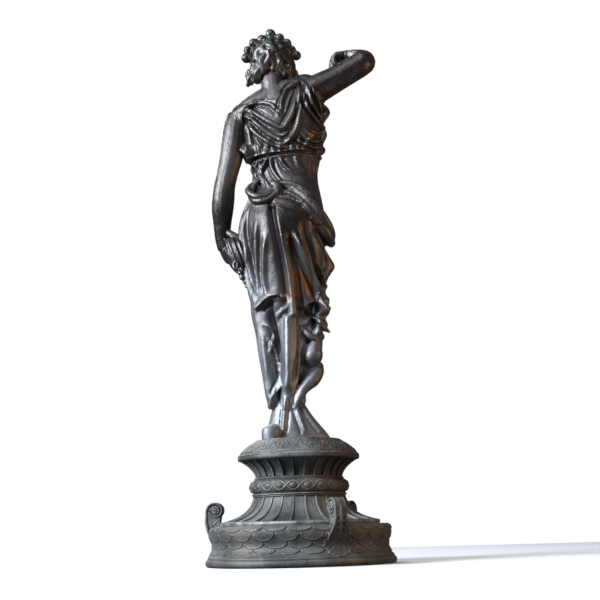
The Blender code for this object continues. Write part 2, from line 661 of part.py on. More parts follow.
def press_belt(clay):
    belt = [(b, 523 + 4 * math.sin(math.radians(b))) for b in range(-180, 181, 20)]
    clay.stroke("round", belt, 7, -6, "ridge", (0.02, 0.02))
    for offset in (-3.4, 3.4):
        clay.stroke("round", [(b, h + offset) for b, h in belt], 2.8, 5.0, "ridge", (0.02, 0.02))
    for k in range(26):
        bearing = -180 + k * 360 / 26
        middle = 523 + 4 * math.sin(math.radians(bearing))
        sway = 5 * math.sin(2.1 * k)
        clay.stroke("round", ((bearing, middle + 8), (bearing + sway, middle + 18), (bearing + 2.6 * sway, middle + 32)),
                    4.2, 4.2 + math.sin(3.3 * k), "ridge", (0.05, 0.6))
        if abs(bearing) > 66:
            clay.stroke("round", ((bearing + 4, middle - 8), (bearing + 5 - sway, middle - 24), (bearing + 3, middle - 48)),
                        4.5, 3.2 + math.sin(4.7 * k), "ridge", (0.05, 0.6))
    # Cloth below the belt: gathers over the left hip, curved folds behind, smoother to the right
    clay.family("back", ((-70, 512), (-66, 490), (-70, 462)), ((-44, 515), (-54, 488), (-40, 456)), 4, 4.6, 6.5, "pipe", (0.06, 0.2))
    clay.stroke("back", ((-52, 513), (-60, 486), (-64, 462)), 4, 5, "ridge", (0.1, 0.3))
    clay.stroke("back", ((-38, 516), (-34, 494), (-22, 472), (-6, 462)), 5, 5.5, "pipe", (0.1, 0.3))
    clay.stroke("back", ((-20, 516), (-12, 500), (4, 486), (20, 482)), 5, 4.5, "pipe", (0.1, 0.4))
    clay.stroke("back", ((8, 518), (14, 502), (26, 490)), 4.5, 3.5, "pipe", (0.1, 0.5))
    clay.stroke("back", ((34, 520), (36, 498), (34, 470)), 5, 3.0, "ridge", (0.1, 0.5))


def press_skirt(clay):
    # Embroidered band along the edge of the mantle
    band_top = ((-40, 430), (-14, 425), (15, 418), (38, 404))
    band_foot = ((-36, 418), (-12, 411), (12, 402), (34, 388))
    clay.stroke("back", band_top, 2.6, 3.0, "ridge", (0.05, 0.05))
    clay.stroke("back", band_foot, 2.6, 3.6, "ridge", (0.05, 0.05))
    clay.stroke("back", ((-38, 424), (-13, 418), (13, 410), (36, 396)), 6, 2.0, "ridge", (0.05, 0.05))
    clay.stroke("back", ((-38, 428), (-35, 390), (-27, 347), (-21, 300), (-16, 254), (-14, 214)), 8, -12, "ridge", (0.1, 0.05))
    clay.stroke("back", ((-29, 408), (-21, 356), (-10, 300), (-4, 245), (-1, 208)), 8, 6, "ridge", (0.3, 0.1))
    clay.stroke("back", ((-8, 374), (0, 333), (8, 290), (12, 244), (12, 200)), 8, -9, "ridge", (0.3, 0.1))
    clay.stroke("back", ((1, 372), (13, 336), (28, 295), (43, 253), (56, 214)), 8, 10, "pipe", (0.25, 0.05))
    clay.stroke("back", ((14, 388), (29, 345), (44, 302), (56, 270)), 8, -10, "ridge", (0.3, 0.1))
    clay.stroke("back", ((38, 372), (52, 345), (66, 318)), 6, 5, "ridge", (0.2, 0.2))
    clay.stroke("back", ((40, 320), (54, 290), (60, 250), (56, 222)), 5, 5, "pipe", (0.2, 0.2))
    clay.stroke("back", ((20, 330), (34, 290), (38, 250), (34, 214)), 5, 5, "pipe", (0.3, 0.2))
    clay.stroke("back", ((-62, 409), (-67, 357), (-66, 301), (-62, 252)), 8, 3.5, "ridge", (0.3, 0.2))
    clay.stroke("back", ((-46, 371), (-52, 329), (-53, 283), (-47, 252)), 7, 6, "ridge", (0.3, 0.1))
    clay.stroke("back", ((-57, 380), (-60, 330), (-60, 290), (-56, 254)), 5, -3.5, "ridge", (0.3, 0.2))
    clay.stroke("back", ((-80, 370), (-81, 320), (-76, 270), (-72, 236)), 6, 3, "ridge", (0.4, 0.2))
    # Hem of the overskirt, with a corner turned back on itself
    clay.stroke("back", ((-68, 228), (-62, 237), (-52, 246), (-40, 251), (-26, 252)), 5, 9, "hem", (0.1, 0.1))
    clay.stroke("back", ((-58, 228), (-49, 237), (-38, 241)), 6, -10, "ridge", (0.2, 0.2))
    clay.stroke("back", ((-27, 252), (-16, 247), (-13, 237), (-18, 226), (-33, 213)), 5.5, 10, "ridge", (0.15, 0.15))
    # Ragged edges of the mantle on the right
    clay.stroke("back", ((14, 226), (28, 242), (44, 236), (60, 206)), 5, 7, "hem", (0.1, 0.1))
    clay.stroke("back", ((17, 226), (26, 220), (33, 206), (34, 192)), 6, -9, "ridge", (0.2, 0.2))
    clay.stroke("back", ((30, 214), (42, 208), (56, 186)), 4.5, 6, "pipe", (0.2, 0.1))
    clay.stroke("back", ((12, 200), (22, 208), (30, 224)), 4, 5, "ridge", (0.2, 0.2))
    # Underskirt: a dark slot beside the left leg, a lit column down the middle, the left cloth's ragged edge
    clay.stroke("back", ((-44, 240), (-41, 216), (-37, 196), (-34, 180), (-31, 152), (-30, 128)), 5.5, -11, "ridge", (0.08, 0.25))
    clay.stroke("back", ((-59, 203), (-47, 195), (-41, 187), (-42, 178), (-47, 165), (-41, 157), (-36, 143), (-34, 124),
                         (-34, 104), (-38, 84), (-43, 62)), 4.5, 6, "hem", (0.08, 0.15))
    clay.stroke("back", ((-14, 242), (-13, 201), (-14, 141), (-15, 101), (-22, 73)), 9, 5, "ridge", (0.15, 0.2))
    clay.stroke("back", ((9, 236), (9, 200), (8, 160), (3, 124), (-4, 88)), 7, -9, "ridge", (0.1, 0.2))
    clay.stroke("back", ((-30, 112), (-36, 92), (-44, 70)), 4.5, 5, "pipe", (0.2, 0.2))
    clay.stroke("back", ((-58, 190), (-56, 150), (-50, 100)), 6, 3.5, "ridge", (0.2, 0.2))
    clay.stroke("back", ((-50, 178), (-44, 166), (-46, 150)), 4, 4, "ridge", (0.2, 0.2))
    for x, lean in ((-66, 4), (-40, 10), (-14, 2), (10, 8), (34, -4)):
        clay.stroke("front", ((x * 0.72 - 6, 420), (x * 0.8, 340), (x * 0.8 + lean, 250), (x * 0.6 + lean, 130), (x * 0.45 - 8, 40)),
                    9, 8, "pipe", (0.25, 0.1))
    clay.family("left", ((-30, 430), (-26, 340), (-22, 250)), ((30, 430), (36, 340), (34, 230)), 4, 8, 6, "pipe", (0.3, 0.2))
    clay.family("right", ((-18, 250), (-16, 200), (-10, 120)), ((30, 250), (34, 200), (30, 120)), 3, 7, 5, "pipe", (0.3, 0.2))
    # Hem spreading on the disc
    clay.stroke("back", ((-44, 78), (-50, 46), (-54, 20)), 6, 4, "ridge", (0.3, 0.1))
    clay.stroke("back", ((-20, 74), (-22, 44), (-26, 6)), 6, 4, "pipe", (0.3, 0.1))
    clay.stroke("back", ((-8, 70), (2, 40), (14, 4)), 6, 4, "pipe", (0.3, 0.1))
    clay.stroke("back", ((4, 62), (22, 32), (42, 4)), 5, 3.5, "pipe", (0.3, 0.1))


def add_left_arm(bm):
    add_blob(bm, (-94, 0, 598), (24, 26, 29))
    add_limb(bm, ((-98, 0, 606, 23), (-104, -2, 578, 23.5), (-111, -4, 530, 22.5), (-118, -6, 500, 20.5),
                  (-125, -6, 470, 20.5), (-128, -2, 446, 21.5), (-130, 4, 425, 20.5), (-131, 12, 402, 17),
                  (-131, 18, 378, 15), (-127, 22, 358, 14.5)))
    # Back of the hand and four fingers closing on the bunch
    add_limb(bm, ((-128, 22, 362, 14, 12), (-124, 24, 347, 16, 11), (-118, 26, 335, 16, 10)), flat=(0, 1, 0))
    for y, lift in ((8, 2), (18, 0), (28, 3), (37, 9)):
        add_limb(bm, ((-120, y, 340 + lift, 6.5), (-111, y + 2, 322 + lift, 6), (-101, y + 2, 312 + lift, 5.5), (-93, y + 2, 314 + lift, 5)))
    add_limb(bm, ((-122, 10, 350, 7.5), (-114, 0, 338, 6.5), (-107, -4, 328, 5.5)))


def add_held_bunch(bm):
    """Stalks and blossoms held against the hip by the left hand."""
    for k in range(8):
        x = -122 + 4.6 * k
        y = -4 - 8 * math.sin(math.pi * (k + 1.5) / 10) - 3.4 * (k % 2)
        add_limb(bm, ((x - 3, y + 10, 370, 2.2), (x, y, 357, 2.5), (x + 6, y - 3, 340, 2.6), (x + 12, y - 1, 324, 2.4), (x + 15, y + 5, 314, 2.0)),
                 sides=10, rings=16)
    add_limb(bm, ((-104, 12, 376, 9), (-99, 12, 352, 9), (-96, 12, 324, 9), (-93, 10, 304, 7)))
    add_limb(bm, ((-120, 8, 384, 7), (-110, 4, 376, 8), (-98, 2, 369, 7)))
    ring = [(-106 + 4 * math.cos(a), -15, 316 + 6.5 * math.sin(a), 2.2) for a in (math.pi * 2 * k / 10 for k in range(11))]
    add_limb(bm, ring, sides=10, rings=30)
    for x, y, h, r in ((-98, -5, 304, 5.5), (-95, -5, 295, 5.5), (-90, -3, 287, 4.6), (-87, -2, 279, 4)):
        add_blob(bm, (x, y, h), (r, r, r))


def add_right_arm(bm):
    add_blob(bm, (44, 2, 648), (28, 27, 27))
    add_limb(bm, ((36, 0, 650, 29), (62, 0, 664, 27.5), (90, -2, 678, 25), (118, -5, 693, 24), (137, -7, 704, 24),
                  (143, -6, 709, 23.5)))
    add_limb(bm, ((143, -8, 708, 23.5), (143.5, 12, 716, 23.5), (141.5, 36, 730, 22), (136, 60, 744, 19), (130, 82, 757, 16),
                  (126, 98, 765, 14.5)))
    # Hand turned inwards before the brow, its fingers bent down
    add_limb(bm, ((128, 94, 764, 14, 12), (118, 102, 769, 17, 10), (107, 105, 769, 18, 10)), flat=(0.1, 1, 0))
    for y, reach, drop in ((91, 93, 746), (100, 89, 738), (110, 87, 732), (119, 90, 731)):
        add_limb(bm, ((107, y, 768, 6.6), (reach + 3, y, 767, 6.2), (reach - 1, y + 1, (drop + 767) / 2, 5.6), (reach + 2, y + 1, drop, 4.8)))
    add_limb(bm, ((122, 112, 757, 7.5), (112, 116, 744, 6.8), (102, 114, 736, 6)))


HEAD_CENTRE = Vector((-32, 2, 722))
HEAD_TURN = Matrix.Rotation(math.radians(-22), 4, "Z") @ Matrix.Rotation(math.radians(6), 4, "X")


def head_place(x, y, z):
    return HEAD_CENTRE + HEAD_TURN @ Vector((x, y, z))


def add_face(bm):
    add_blob(bm, head_place(0, 0, 2), (36, 44, 42))
    add_blob(bm, head_place(0, 15, -16), (28, 28, 36), (0, 0, -22))
    add_blob(bm, head_place(0, 22, -36), (19, 20, 17), (0, 0, -22))
    add_blob(bm, head_place(0, 37, -45), (8.5, 8, 7.5))
    for side in (-1, 1):
        add_blob(bm, head_place(14 * side, 32, -14), (10, 10, 11))
        add_blob(bm, head_place(14 * side, 36.5, 1), (7.5, 5, 4.5))
        add_limb(bm, [(*head_place(x * side, y, z), 3.4) for x, y, z in ((4, 43, 7), (13, 42.5, 9), (23, 37, 6))], rings=8)
        add_blob(bm, head_place(34 * side, 2, -6), (4, 7, 10))
    add_limb(bm, [(*head_place(0, y, z), r) for y, z, r in ((42, 6, 3.4), (46, -4, 3.8), (51, -14, 5))], rings=8)
    for lip_height, lip_radius in ((-25, 3.2), (-30, 3.4)):
        add_limb(bm, [(*head_place(x, y, lip_height), lip_radius) for x, y in ((-9, 40), (0, 44.5), (9, 40))], rings=8)


def add_hair(bm):
    add_blob(bm, (-33, -4, 721), (38, 38, 38))
    add_blob(bm, (-60, -6, 694), (17, 22, 28))
    add_blob(bm, (-5, -8, 698), (21, 23, 28))
    # Staggered tiers of curling locks round the back of the head
    for tier, (top, low, count) in enumerate(((56, 20, 8), (30, -10, 11), (0, -40, 12))):
        for k in range(count):
            bearing = -112 + 224 * (k + 0.5 * (tier % 2)) / (count - 0.5)
            lock = []
            for j in range(6):
                t = j / 5
                height = math.radians(top + (low - top) * t)
                sway = math.radians(bearing + 10 * math.sin(5.2 * t + 1.9 * k + tier) + 8 * (t - 0.5))
                out = Vector((math.sin(sway) * math.cos(height), -math.cos(sway) * math.cos(height), math.sin(height)))
                lock.append((-33 + 39 * out.x, -4 + 38 * out.y, 720 + 39 * out.z, 2.8 + 3.2 * math.sin(math.pi * (0.15 + 0.75 * t))))
            add_limb(bm, lock, sides=12, rings=16)
    # Locks that end low on the left and along the nape
    for k, (x, y, h) in enumerate(((-78, 2, 664), (-73, -10, 662), (-66, -19, 663), (-58, -26, 668), (-49, -31, 676),
                                   (-39, -33, 684), (-28, -32, 682), (-17, -29, 676), (-7, -25, 672), (3, -19, 671), (12, -9, 672))):
        lean = 5 if k % 2 else -4
        add_limb(bm, ((x * 0.75 - 8, y - 13, h + 36, 4.5), (x * 0.9 - 4 + lean, y - 9, h + 24, 6), (x - lean * 0.6, y - 5, h + 11, 6),
                      (x + lean * 0.4, y, h + 2, 4.5)), sides=12, rings=16)
    # Chaplet of round blossoms
    for x, y, h, r in ((-81, -8, 722, 10.5), (-78, -4, 740, 9), (-66, -8, 754, 10), (-50, -8, 762, 9.5), (-33, -8, 773, 10.5),
                       (-15, -8, 764, 9.5), (-1, -8, 752, 9.5), (8, -6, 738, 9), (17, -2, 727, 10),
                       (-71, 12, 749, 8), (-57, 14, 763, 8.5), (-41, 14, 769, 8.5), (-24, 14, 768, 8.5), (-7, 14, 757, 8), (8, 12, 744, 8)):
        add_blob(bm, (x, y, h), (r, r, r))


def add_roll(bm, rows, strands=3, turns=0.7, rings=30):
    """Rolled cloth: strands winding round one another along rows of x, y, height, radius."""
    samples = smooth_through(rows, rings)
    centres = [Vector(r[:3]) for r in samples]
    for strand in range(strands):
        wound = []
        for i, centre in enumerate(centres):
            ahead = (centres[min(i + 1, rings - 1)] - centres[max(i - 1, 0)]).normalized()
            side = ahead.cross(Vector((0, 0, 1))).normalized()
            up = side.cross(ahead)
            angle = 2 * math.pi * (strand / strands + turns * i / (rings - 1))
            radius = samples[i][3]
            wound.append((*(centre + (side * math.cos(angle) + up * math.sin(angle)) * radius * 0.42), radius * 0.64))
        add_limb(bm, wound, sides=12, rings=rings)


def add_sash(bm):
    # Loop over the left hip, its knot, and the long roll down to the right hip
    add_roll(bm, ((-56, -18, 478, 6), (-72, -24, 464, 8), (-77, -36, 446, 9.5), (-65, -48, 432, 10), (-46, -53, 431, 9.5),
                  (-32, -50, 441, 8.5), (-20, -44, 453, 7.5)), 2, 0.4)
    add_limb(bm, ((-34, -46, 462, 7), (-24, -47, 452, 9), (-18, -46, 440, 7), (-20, -48, 428, 5)))
    add_roll(bm, ((-26, -40, 463, 6), (-10, -44, 459, 8.5), (10, -48, 450, 10), (31, -52, 430, 11.5), (47, -48, 404, 13),
                  (60, -36, 378, 14), (67, -18, 362, 13), (67, 2, 361, 12), (60, 24, 380, 10), (46, 44, 408, 9)), 3, 0.7, 44)
    add_limb(bm, ((-30, -46, 446, 4), (-8, -50, 441, 5), (16, -55, 426, 5.5), (34, -56, 404, 6), (48, -50, 382, 5)))
    # Roll of the mantle across the front
    add_roll(bm, ((-56, -16, 478, 6), (-74, 8, 468, 9), (-66, 42, 458, 10), (-20, 60, 440, 11), (20, 56, 424, 10), (46, 40, 408, 9)), 3, 1.2, 40)


def add_cascade(bm):
    """The lowest end of the mantle: a rounded bunch, and a second one twisted across below it."""
    add_limb(bm, ((42, -4, 186, 5), (40, -7, 172, 10), (33, -10, 157, 16), (27, -8, 138, 15)), rings=24)
    add_blob(bm, (31, -11, 146), (18, 17, 22), (0, 14, 0))
    add_blob(bm, (24, 2, 124), (18, 14, 34))
    add_limb(bm, ((42, 2, 130, 8), (39, -5, 117, 11.5), (30, -12, 103, 13.5), (19, -17, 92, 11.5), (10, -20, 81, 9.5),
                  (3, -20, 66, 8), (-4, -19, 50, 5.5)), rings=36)
    add_limb(bm, ((14, -14, 196, 4), (20, -20, 186, 6), (30, -20, 178, 6), (40, -14, 174, 5)))
    # Two sharp corners of cloth on the right
    add_limb(bm, ((44, -2, 202, 8), (54, -2, 196, 5.5), (63, -2, 189, 2)), rings=12)
    add_limb(bm, ((48, 0, 244, 8), (57, 2, 239, 5.5), (66, 4, 234, 2.2)), rings=12)


def add_head(bm):
    """Face and hair, settled into their place on the neck."""
    head = bmesh.new()
    add_face(head)
    add_hair(head)
    mesh = bpy.data.meshes.new("head")
    head.to_mesh(mesh)
    head.free()
    mesh.transform(Matrix.Translation((-33, -4, 740)) @ Matrix.Diagonal((0.975, 0.975, 0.93, 1)) @ Matrix.Translation((33, 4, -740)))
    bm.from_mesh(mesh)
    bpy.data.meshes.remove(mesh)


def figure(collection):
    bm = bmesh.new()
    add_body(bm)
    add_legs(bm)
    add_hem_and_feet(bm)
    gown = fused(bm, "gown", CLAY_STEP, 6)
    clay = Clay(gown)
    press_bodice(clay)
    press_belt(clay)
    press_skirt(clay)
    clay.settle()
    bm = bmesh.new()
    for shape in (add_left_arm, add_held_bunch, add_right_arm, add_head, add_sash, add_cascade):
        shape(bm)
    bm.from_mesh(gown.data)
    bpy.data.objects.remove(gown)
    whole = fused(bm, "figure", CLAY_STEP, 2)
    step = FIGURE_HEIGHT / FIGURE_GRID
    whole.data.transform(Matrix.Scale(step, 4))
    thin = whole.modifiers.new("Thin", "DECIMATE")
    thin.ratio = FIGURE_TRIANGLES / (2 * len(whole.data.polygons))
    thin.use_collapse_triangulate = True
    baked = baked_mesh(whole)
    whole.modifiers.clear()
    whole.data = baked
    # The soles are cut flat on the disc
    cut = bmesh.new()
    cut.from_mesh(baked)
    below = bmesh.ops.bisect_plane(cut, geom=cut.verts[:] + cut.edges[:] + cut.faces[:], plane_co=(0, 0, FIGURE_SOLE * step),
                                   plane_no=(0, 0, -1), clear_outer=True)
    rim = [e for e in below["geom_cut"] if isinstance(e, bmesh.types.BMEdge)]
    bmesh.ops.contextual_create(cut, geom=rim)
    cut.to_mesh(baked)
    cut.free()
    baked.transform(Matrix.Translation((0, 0, DISC_TOP + GAP - FIGURE_SOLE * step)))
    baked.shade_smooth()
    bpy.context.scene.collection.objects.unlink(whole)
    collection.objects.link(whole)
    return whole


def main():
    clear_scene()
    parts = new_collection("bronze_statue")
    cutters = new_collection("cutters")
    figure_bronze = bronze("dark_bronze", (0.075, 0.068, 0.062), 0.38)
    plinth_bronze = bronze("dusty_bronze", (0.16, 0.155, 0.145), 0.62)
    figure(parts).data.materials.append(figure_bronze)
    fluted_socle(parts).data.materials.append(plinth_bronze)
    base_drum(parts).data.materials.append(plinth_bronze)
    scroll_brackets(parts, cutters)[0].data.materials.append(plinth_bronze)


main()
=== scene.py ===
"""The bronze statue's fine casting, patina, studio light and camera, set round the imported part."""
import math

import bmesh
import bpy
import numpy as np
from mathutils import Matrix, Vector


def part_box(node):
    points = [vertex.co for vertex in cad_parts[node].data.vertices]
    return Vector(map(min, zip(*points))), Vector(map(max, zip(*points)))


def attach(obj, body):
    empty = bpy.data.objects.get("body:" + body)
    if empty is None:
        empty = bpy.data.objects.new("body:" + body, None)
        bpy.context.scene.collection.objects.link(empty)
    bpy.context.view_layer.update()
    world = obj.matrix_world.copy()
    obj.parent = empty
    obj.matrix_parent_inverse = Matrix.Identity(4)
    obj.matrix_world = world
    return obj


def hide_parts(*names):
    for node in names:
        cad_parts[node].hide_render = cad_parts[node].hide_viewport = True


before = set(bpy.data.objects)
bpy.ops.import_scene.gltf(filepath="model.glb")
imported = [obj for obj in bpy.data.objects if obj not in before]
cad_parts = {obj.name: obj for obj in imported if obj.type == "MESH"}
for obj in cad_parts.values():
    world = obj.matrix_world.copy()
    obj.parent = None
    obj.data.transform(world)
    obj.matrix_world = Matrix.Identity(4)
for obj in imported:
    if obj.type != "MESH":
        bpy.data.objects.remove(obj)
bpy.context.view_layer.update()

# Places taken from the part
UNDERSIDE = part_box("base_drum")[0].z
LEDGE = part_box("base_drum")[1].z
SOCLE_LOW, SOCLE_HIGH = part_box("fluted_socle")
FIGURE_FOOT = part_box("figure")[0].z

# The figure is shaped on a grid whose step is a share of its height.
FIGURE_HEIGHT = 0.781
FIGURE_GRID = 781.0
FIGURE_SOLE = -5.0
CRUMB_FACES = 100
CLAY_STEP = 1.6
STROKE_STEP = 2.5
FIGURE_TRIANGLES = 190000


def baked_mesh(obj):
    return bpy.data.meshes.new_from_object(obj.evaluated_get(bpy.context.evaluated_depsgraph_get()))


def drop_crumbs(mesh):
    """Takes away the specks that thinning leaves beside the one closed skin."""
    bm = bmesh.new()
    bm.from_mesh(mesh)
    reached = set()
    crumbs = []
    for face in bm.faces:
        if face in reached:
            continue
        island = [face]
        reached.add(face)
        for member in island:
            for edge in member.edges:
                for other in edge.link_faces:
                    if other not in reached:
                        reached.add(other)
                        island.append(other)
        if len(island) < CRUMB_FACES:
            crumbs += island
    bmesh.ops.delete(bm, geom=crumbs, context="FACES")
    bm.to_mesh(mesh)
    bm.free()


def thinned(obj, triangles):
    """Brings a dense skin down to about so many triangles."""
    thin = obj.modifiers.new("Thin", "DECIMATE")
    thin.ratio = min(1, triangles / (2 * len(obj.data.polygons)))
    thin.use_collapse_triangulate = True
    baked = baked_mesh(obj)
    obj.modifiers.clear()
    obj.data = baked
    drop_crumbs(baked)
    baked.shade_smooth()


def smooth_through(points, count):
    """Rows along a Catmull-Rom curve through the given rows."""
    p = np.array(points, float)
    if len(p) == 2:
        t = np.linspace(0, 1, count)[:, None]
        return p[0] * (1 - t) + p[1] * t
    p = np.vstack([2 * p[0] - p[1], p, 2 * p[-1] - p[-2]])
    t = np.linspace(0, len(points) - 1, count)
    i = np.minimum(t.astype(int), len(points) - 2)
    f = (t - i)[:, None]
    a, b, c, d = p[i], p[i + 1], p[i + 2], p[i + 3]
    return 0.5 * (2 * b + (c - a) * f + (2 * a - 5 * b + 4 * c - d) * f**2 + (3 * b - a - 3 * c + d) * f**3)


# Building blocks of the figure, in grid steps
def skin_rings(bm, rings):
    """Joins rings of points into one closed skin with flat ends."""
    made = [[bm.verts.new(p) for p in ring] for ring in rings]
    for lower, upper in zip(made, made[1:]):
        for k in range(len(lower)):
            n = (k + 1) % len(lower)
            bm.faces.new((lower[k], lower[n], upper[n], upper[k]))
    bm.faces.new(made[0][::-1])
    bm.faces.new(made[-1])


def add_mass(bm, rows, sides=48, rings=60):
    """A standing mass: rows of height, left, right, back, front and how far the right edge rises."""
    sections = []
    for h, left, right, back, front, rise in smooth_through(rows, rings):
        cx, cy, a, b = (left + right) / 2, (back + front) / 2, (right - left) / 2, (front - back) / 2
        ring = []
        for k in range(sides):
            t = 2 * math.pi * k / sides
            ring.append(Vector((cx + a * math.cos(t), cy + b * math.sin(t), h + rise * math.cos(t) / 2)))
        sections.append(ring)
    skin_rings(bm, sections)


def add_limb(bm, rows, flat=None, sides=16, rings=24):
    """A tapering round limb of rows x, y, height, radius; flat adds a radius across that direction."""
    samples = smooth_through(rows, rings)
    centres = [Vector(r[:3]) for r in samples]
    sections = []
    across = Vector(flat) if flat else None
    for i, centre in enumerate(centres):
        ahead = (centres[min(i + 1, len(centres) - 1)] - centres[max(i - 1, 0)]).normalized()
        if across is None:
            across = ahead.orthogonal()
        side = (across - ahead * across.dot(ahead)).normalized()
        if flat is None:
            across = side
        up = ahead.cross(side)
        r1 = samples[i][3]
        r2 = samples[i][4] if flat else r1
        sections.append([
            centre + side * (r1 * math.cos(2 * math.pi * k / sides)) + up * (r2 * math.sin(2 * math.pi * k / sides))
            for k in range(sides)
        ])
    # A smaller ring beyond each end rounds it.
    first, last = centres[0], centres[-1]
    back = (first - centres[1]).normalized() * min(samples[0][3:5]) * 0.6
    on = (last - centres[-2]).normalized() * min(samples[-1][3:5]) * 0.6
    sections.insert(0, [first + back + (p - first) * 0.55 for p in sections[0]])
    sections.append([last + on + (p - last) * 0.55 for p in sections[-1]])
    skin_rings(bm, sections)


def add_blob(bm, centre, radii, turn=(0, 0, 0)):
    """An ellipsoid, turned by degrees about x, y and z."""
    angles = [math.radians(a) for a in turn]
    spin = Matrix.Rotation(angles[2], 4, "Z") @ Matrix.Rotation(angles[1], 4, "Y") @ Matrix.Rotation(angles[0], 4, "X")
    ball = bmesh.new()
    bmesh.ops.create_uvsphere(ball, u_segments=18, v_segments=12, radius=1)
    mesh = bpy.data.meshes.new("ball")
    ball.to_mesh(mesh)
    ball.free()
    mesh.transform(Matrix.Translation(centre) @ spin @ Matrix.Diagonal((*radii, 1)))
    bm.from_mesh(mesh)
    bpy.data.meshes.remove(mesh)


def fused(bm, name, step, soften):
    """One closed skin round everything in bm, softened by a number of passes."""
    bmesh.ops.recalc_face_normals(bm, faces=bm.faces)
    mesh = bpy.data.meshes.new(name)
    bm.to_mesh(mesh)
    bm.free()
    obj = bpy.data.objects.new(name, mesh)
    bpy.context.scene.collection.objects.link(obj)
    remesh = obj.modifiers.new("Remesh", "REMESH")
    remesh.mode = "VOXEL"
    remesh.voxel_size = step
    if soften:
        smooth = obj.modifiers.new("Smooth", "SMOOTH")
        smooth.factor = 0.5
        smooth.iterations = soften
    baked = baked_mesh(obj)
    obj.modifiers.clear()
    obj.data = baked
    return obj


class Clay:
    """A skin that folds are pressed into: each stroke follows a curve laid on the skin from one side."""

    def __init__(self, obj):
        self.obj = obj
        mesh = obj.data
        count = len(mesh.vertices)
        self.points = np.empty(count * 3)
        mesh.vertices.foreach_get("co", self.points)
        self.points = self.points.reshape(-1, 3)
        self.normals = np.empty(count * 3)
        mesh.vertices.foreach_get("normal", self.normals)
        self.normals = self.normals.reshape(-1, 3)
        self.lift = np.zeros(count)

    def cast(self, side, a, h):
        """The skin's point and normal under a place seen from the back, front, left, right or all round."""
        if side == "back":
            start, way = Vector((a, -300, h)), Vector((0, 1, 0))
        elif side == "front":
            start, way = Vector((a, 300, h)), Vector((0, -1, 0))
        elif side == "left":
            start, way = Vector((-300, a, h)), Vector((1, 0, 0))
        elif side == "right":
            start, way = Vector((300, a, h)), Vector((-1, 0, 0))
        else:
            bearing = math.radians(a)
            way = Vector((-math.sin(bearing), math.cos(bearing), 0))
            start = Vector((-8, 6, h)) - way * 300
        hit, point, normal, _ = self.obj.ray_cast(start, way)
        return (point, normal) if hit else None

    def stroke(self, side, points, width, height, kind="ridge", fade=(0.2, 0.2)):
        run = float(np.hypot(*np.diff(np.array(points, float), axis=0).T).sum())
        flat = smooth_through(points, max(8, int(run / STROKE_STEP)))
        hits = [h for h in (self.cast(side, a, b) for a, b in flat) if h]
        if len(hits) < 4:
            return
        path = np.array([h[0] for h in hits])
        facing = np.array([h[1] for h in hits])
        along = np.gradient(path, axis=0)
        along /= np.linalg.norm(along, axis=1)[:, None] + 1e-9
        reach = width * 3.2
        low, high = path.min(axis=0) - reach, path.max(axis=0) + reach
        near = np.flatnonzero(np.all((self.points > low) & (self.points < high), axis=1))
        if not len(near):
            return
        spots = self.points[near]
        squared = (spots**2).sum(1)[:, None] + (path**2).sum(1)[None] - 2 * spots @ path.T
        nearest = squared.argmin(axis=1)
        away = spots - path[nearest]
        forward = (away * along[nearest]).sum(1)
        cross = np.cross(facing[nearest], along[nearest])
        sideways = (away * cross).sum(1)
        distance = np.sqrt(np.maximum((away**2).sum(1) - forward**2, 0)) * np.sign(sideways)
        share = (nearest + 0.5) / len(path)
        # The stroke tapers over its ends and stops where it ends.
        strength = np.clip(share / max(fade[0], 0.02), 0, 1) * np.clip((1 - share) / max(fade[1], 0.02), 0, 1)
        strength = strength * strength * (3 - 2 * strength)
        strength *= np.exp(-np.maximum(np.abs(forward) - 2, 0) / width)
        strength *= (self.normals[near] * facing[nearest]).sum(1) > 0.05
        s = distance / width
        if kind == "ridge":
            shape = np.exp(-2 * s * s)
        elif kind == "crease":
            shape = -np.exp(-2.2 * np.abs(s))
        elif kind == "pipe":
            shape = np.exp(-2 * s * s) - 0.75 * np.exp(-9 * (np.abs(s) - 1.15) ** 2)
        else:
            shape = np.where(s > 0, np.exp(-0.35 * s * s), 0) - 0.35 * np.exp(-6 * (s + 0.5) ** 2)
        self.lift[near] += height * strength * shape

    def family(self, side, first, last, count, width, height, kind="pipe", fade=(0.2, 0.2)):
        """Strokes spread evenly from the first curve to the last."""
        number = max(len(first), len(last)) * 3
        start, end = smooth_through(first, number), smooth_through(last, number)
        for k in range(count):
            t = k / max(count - 1, 1)
            grow = 1 + 0.18 * math.sin(2.4 * k + 0.7)
            self.stroke(side, start * (1 - t) + end * t, width, height * grow, kind, fade)

    def settle(self):
        """Moves the skin by what the strokes add up to."""
        self.points += self.normals * self.lift[:, None]
        self.obj.data.vertices.foreach_set("co", self.points.ravel())
        self.obj.data.update()
        self.lift[:] = 0


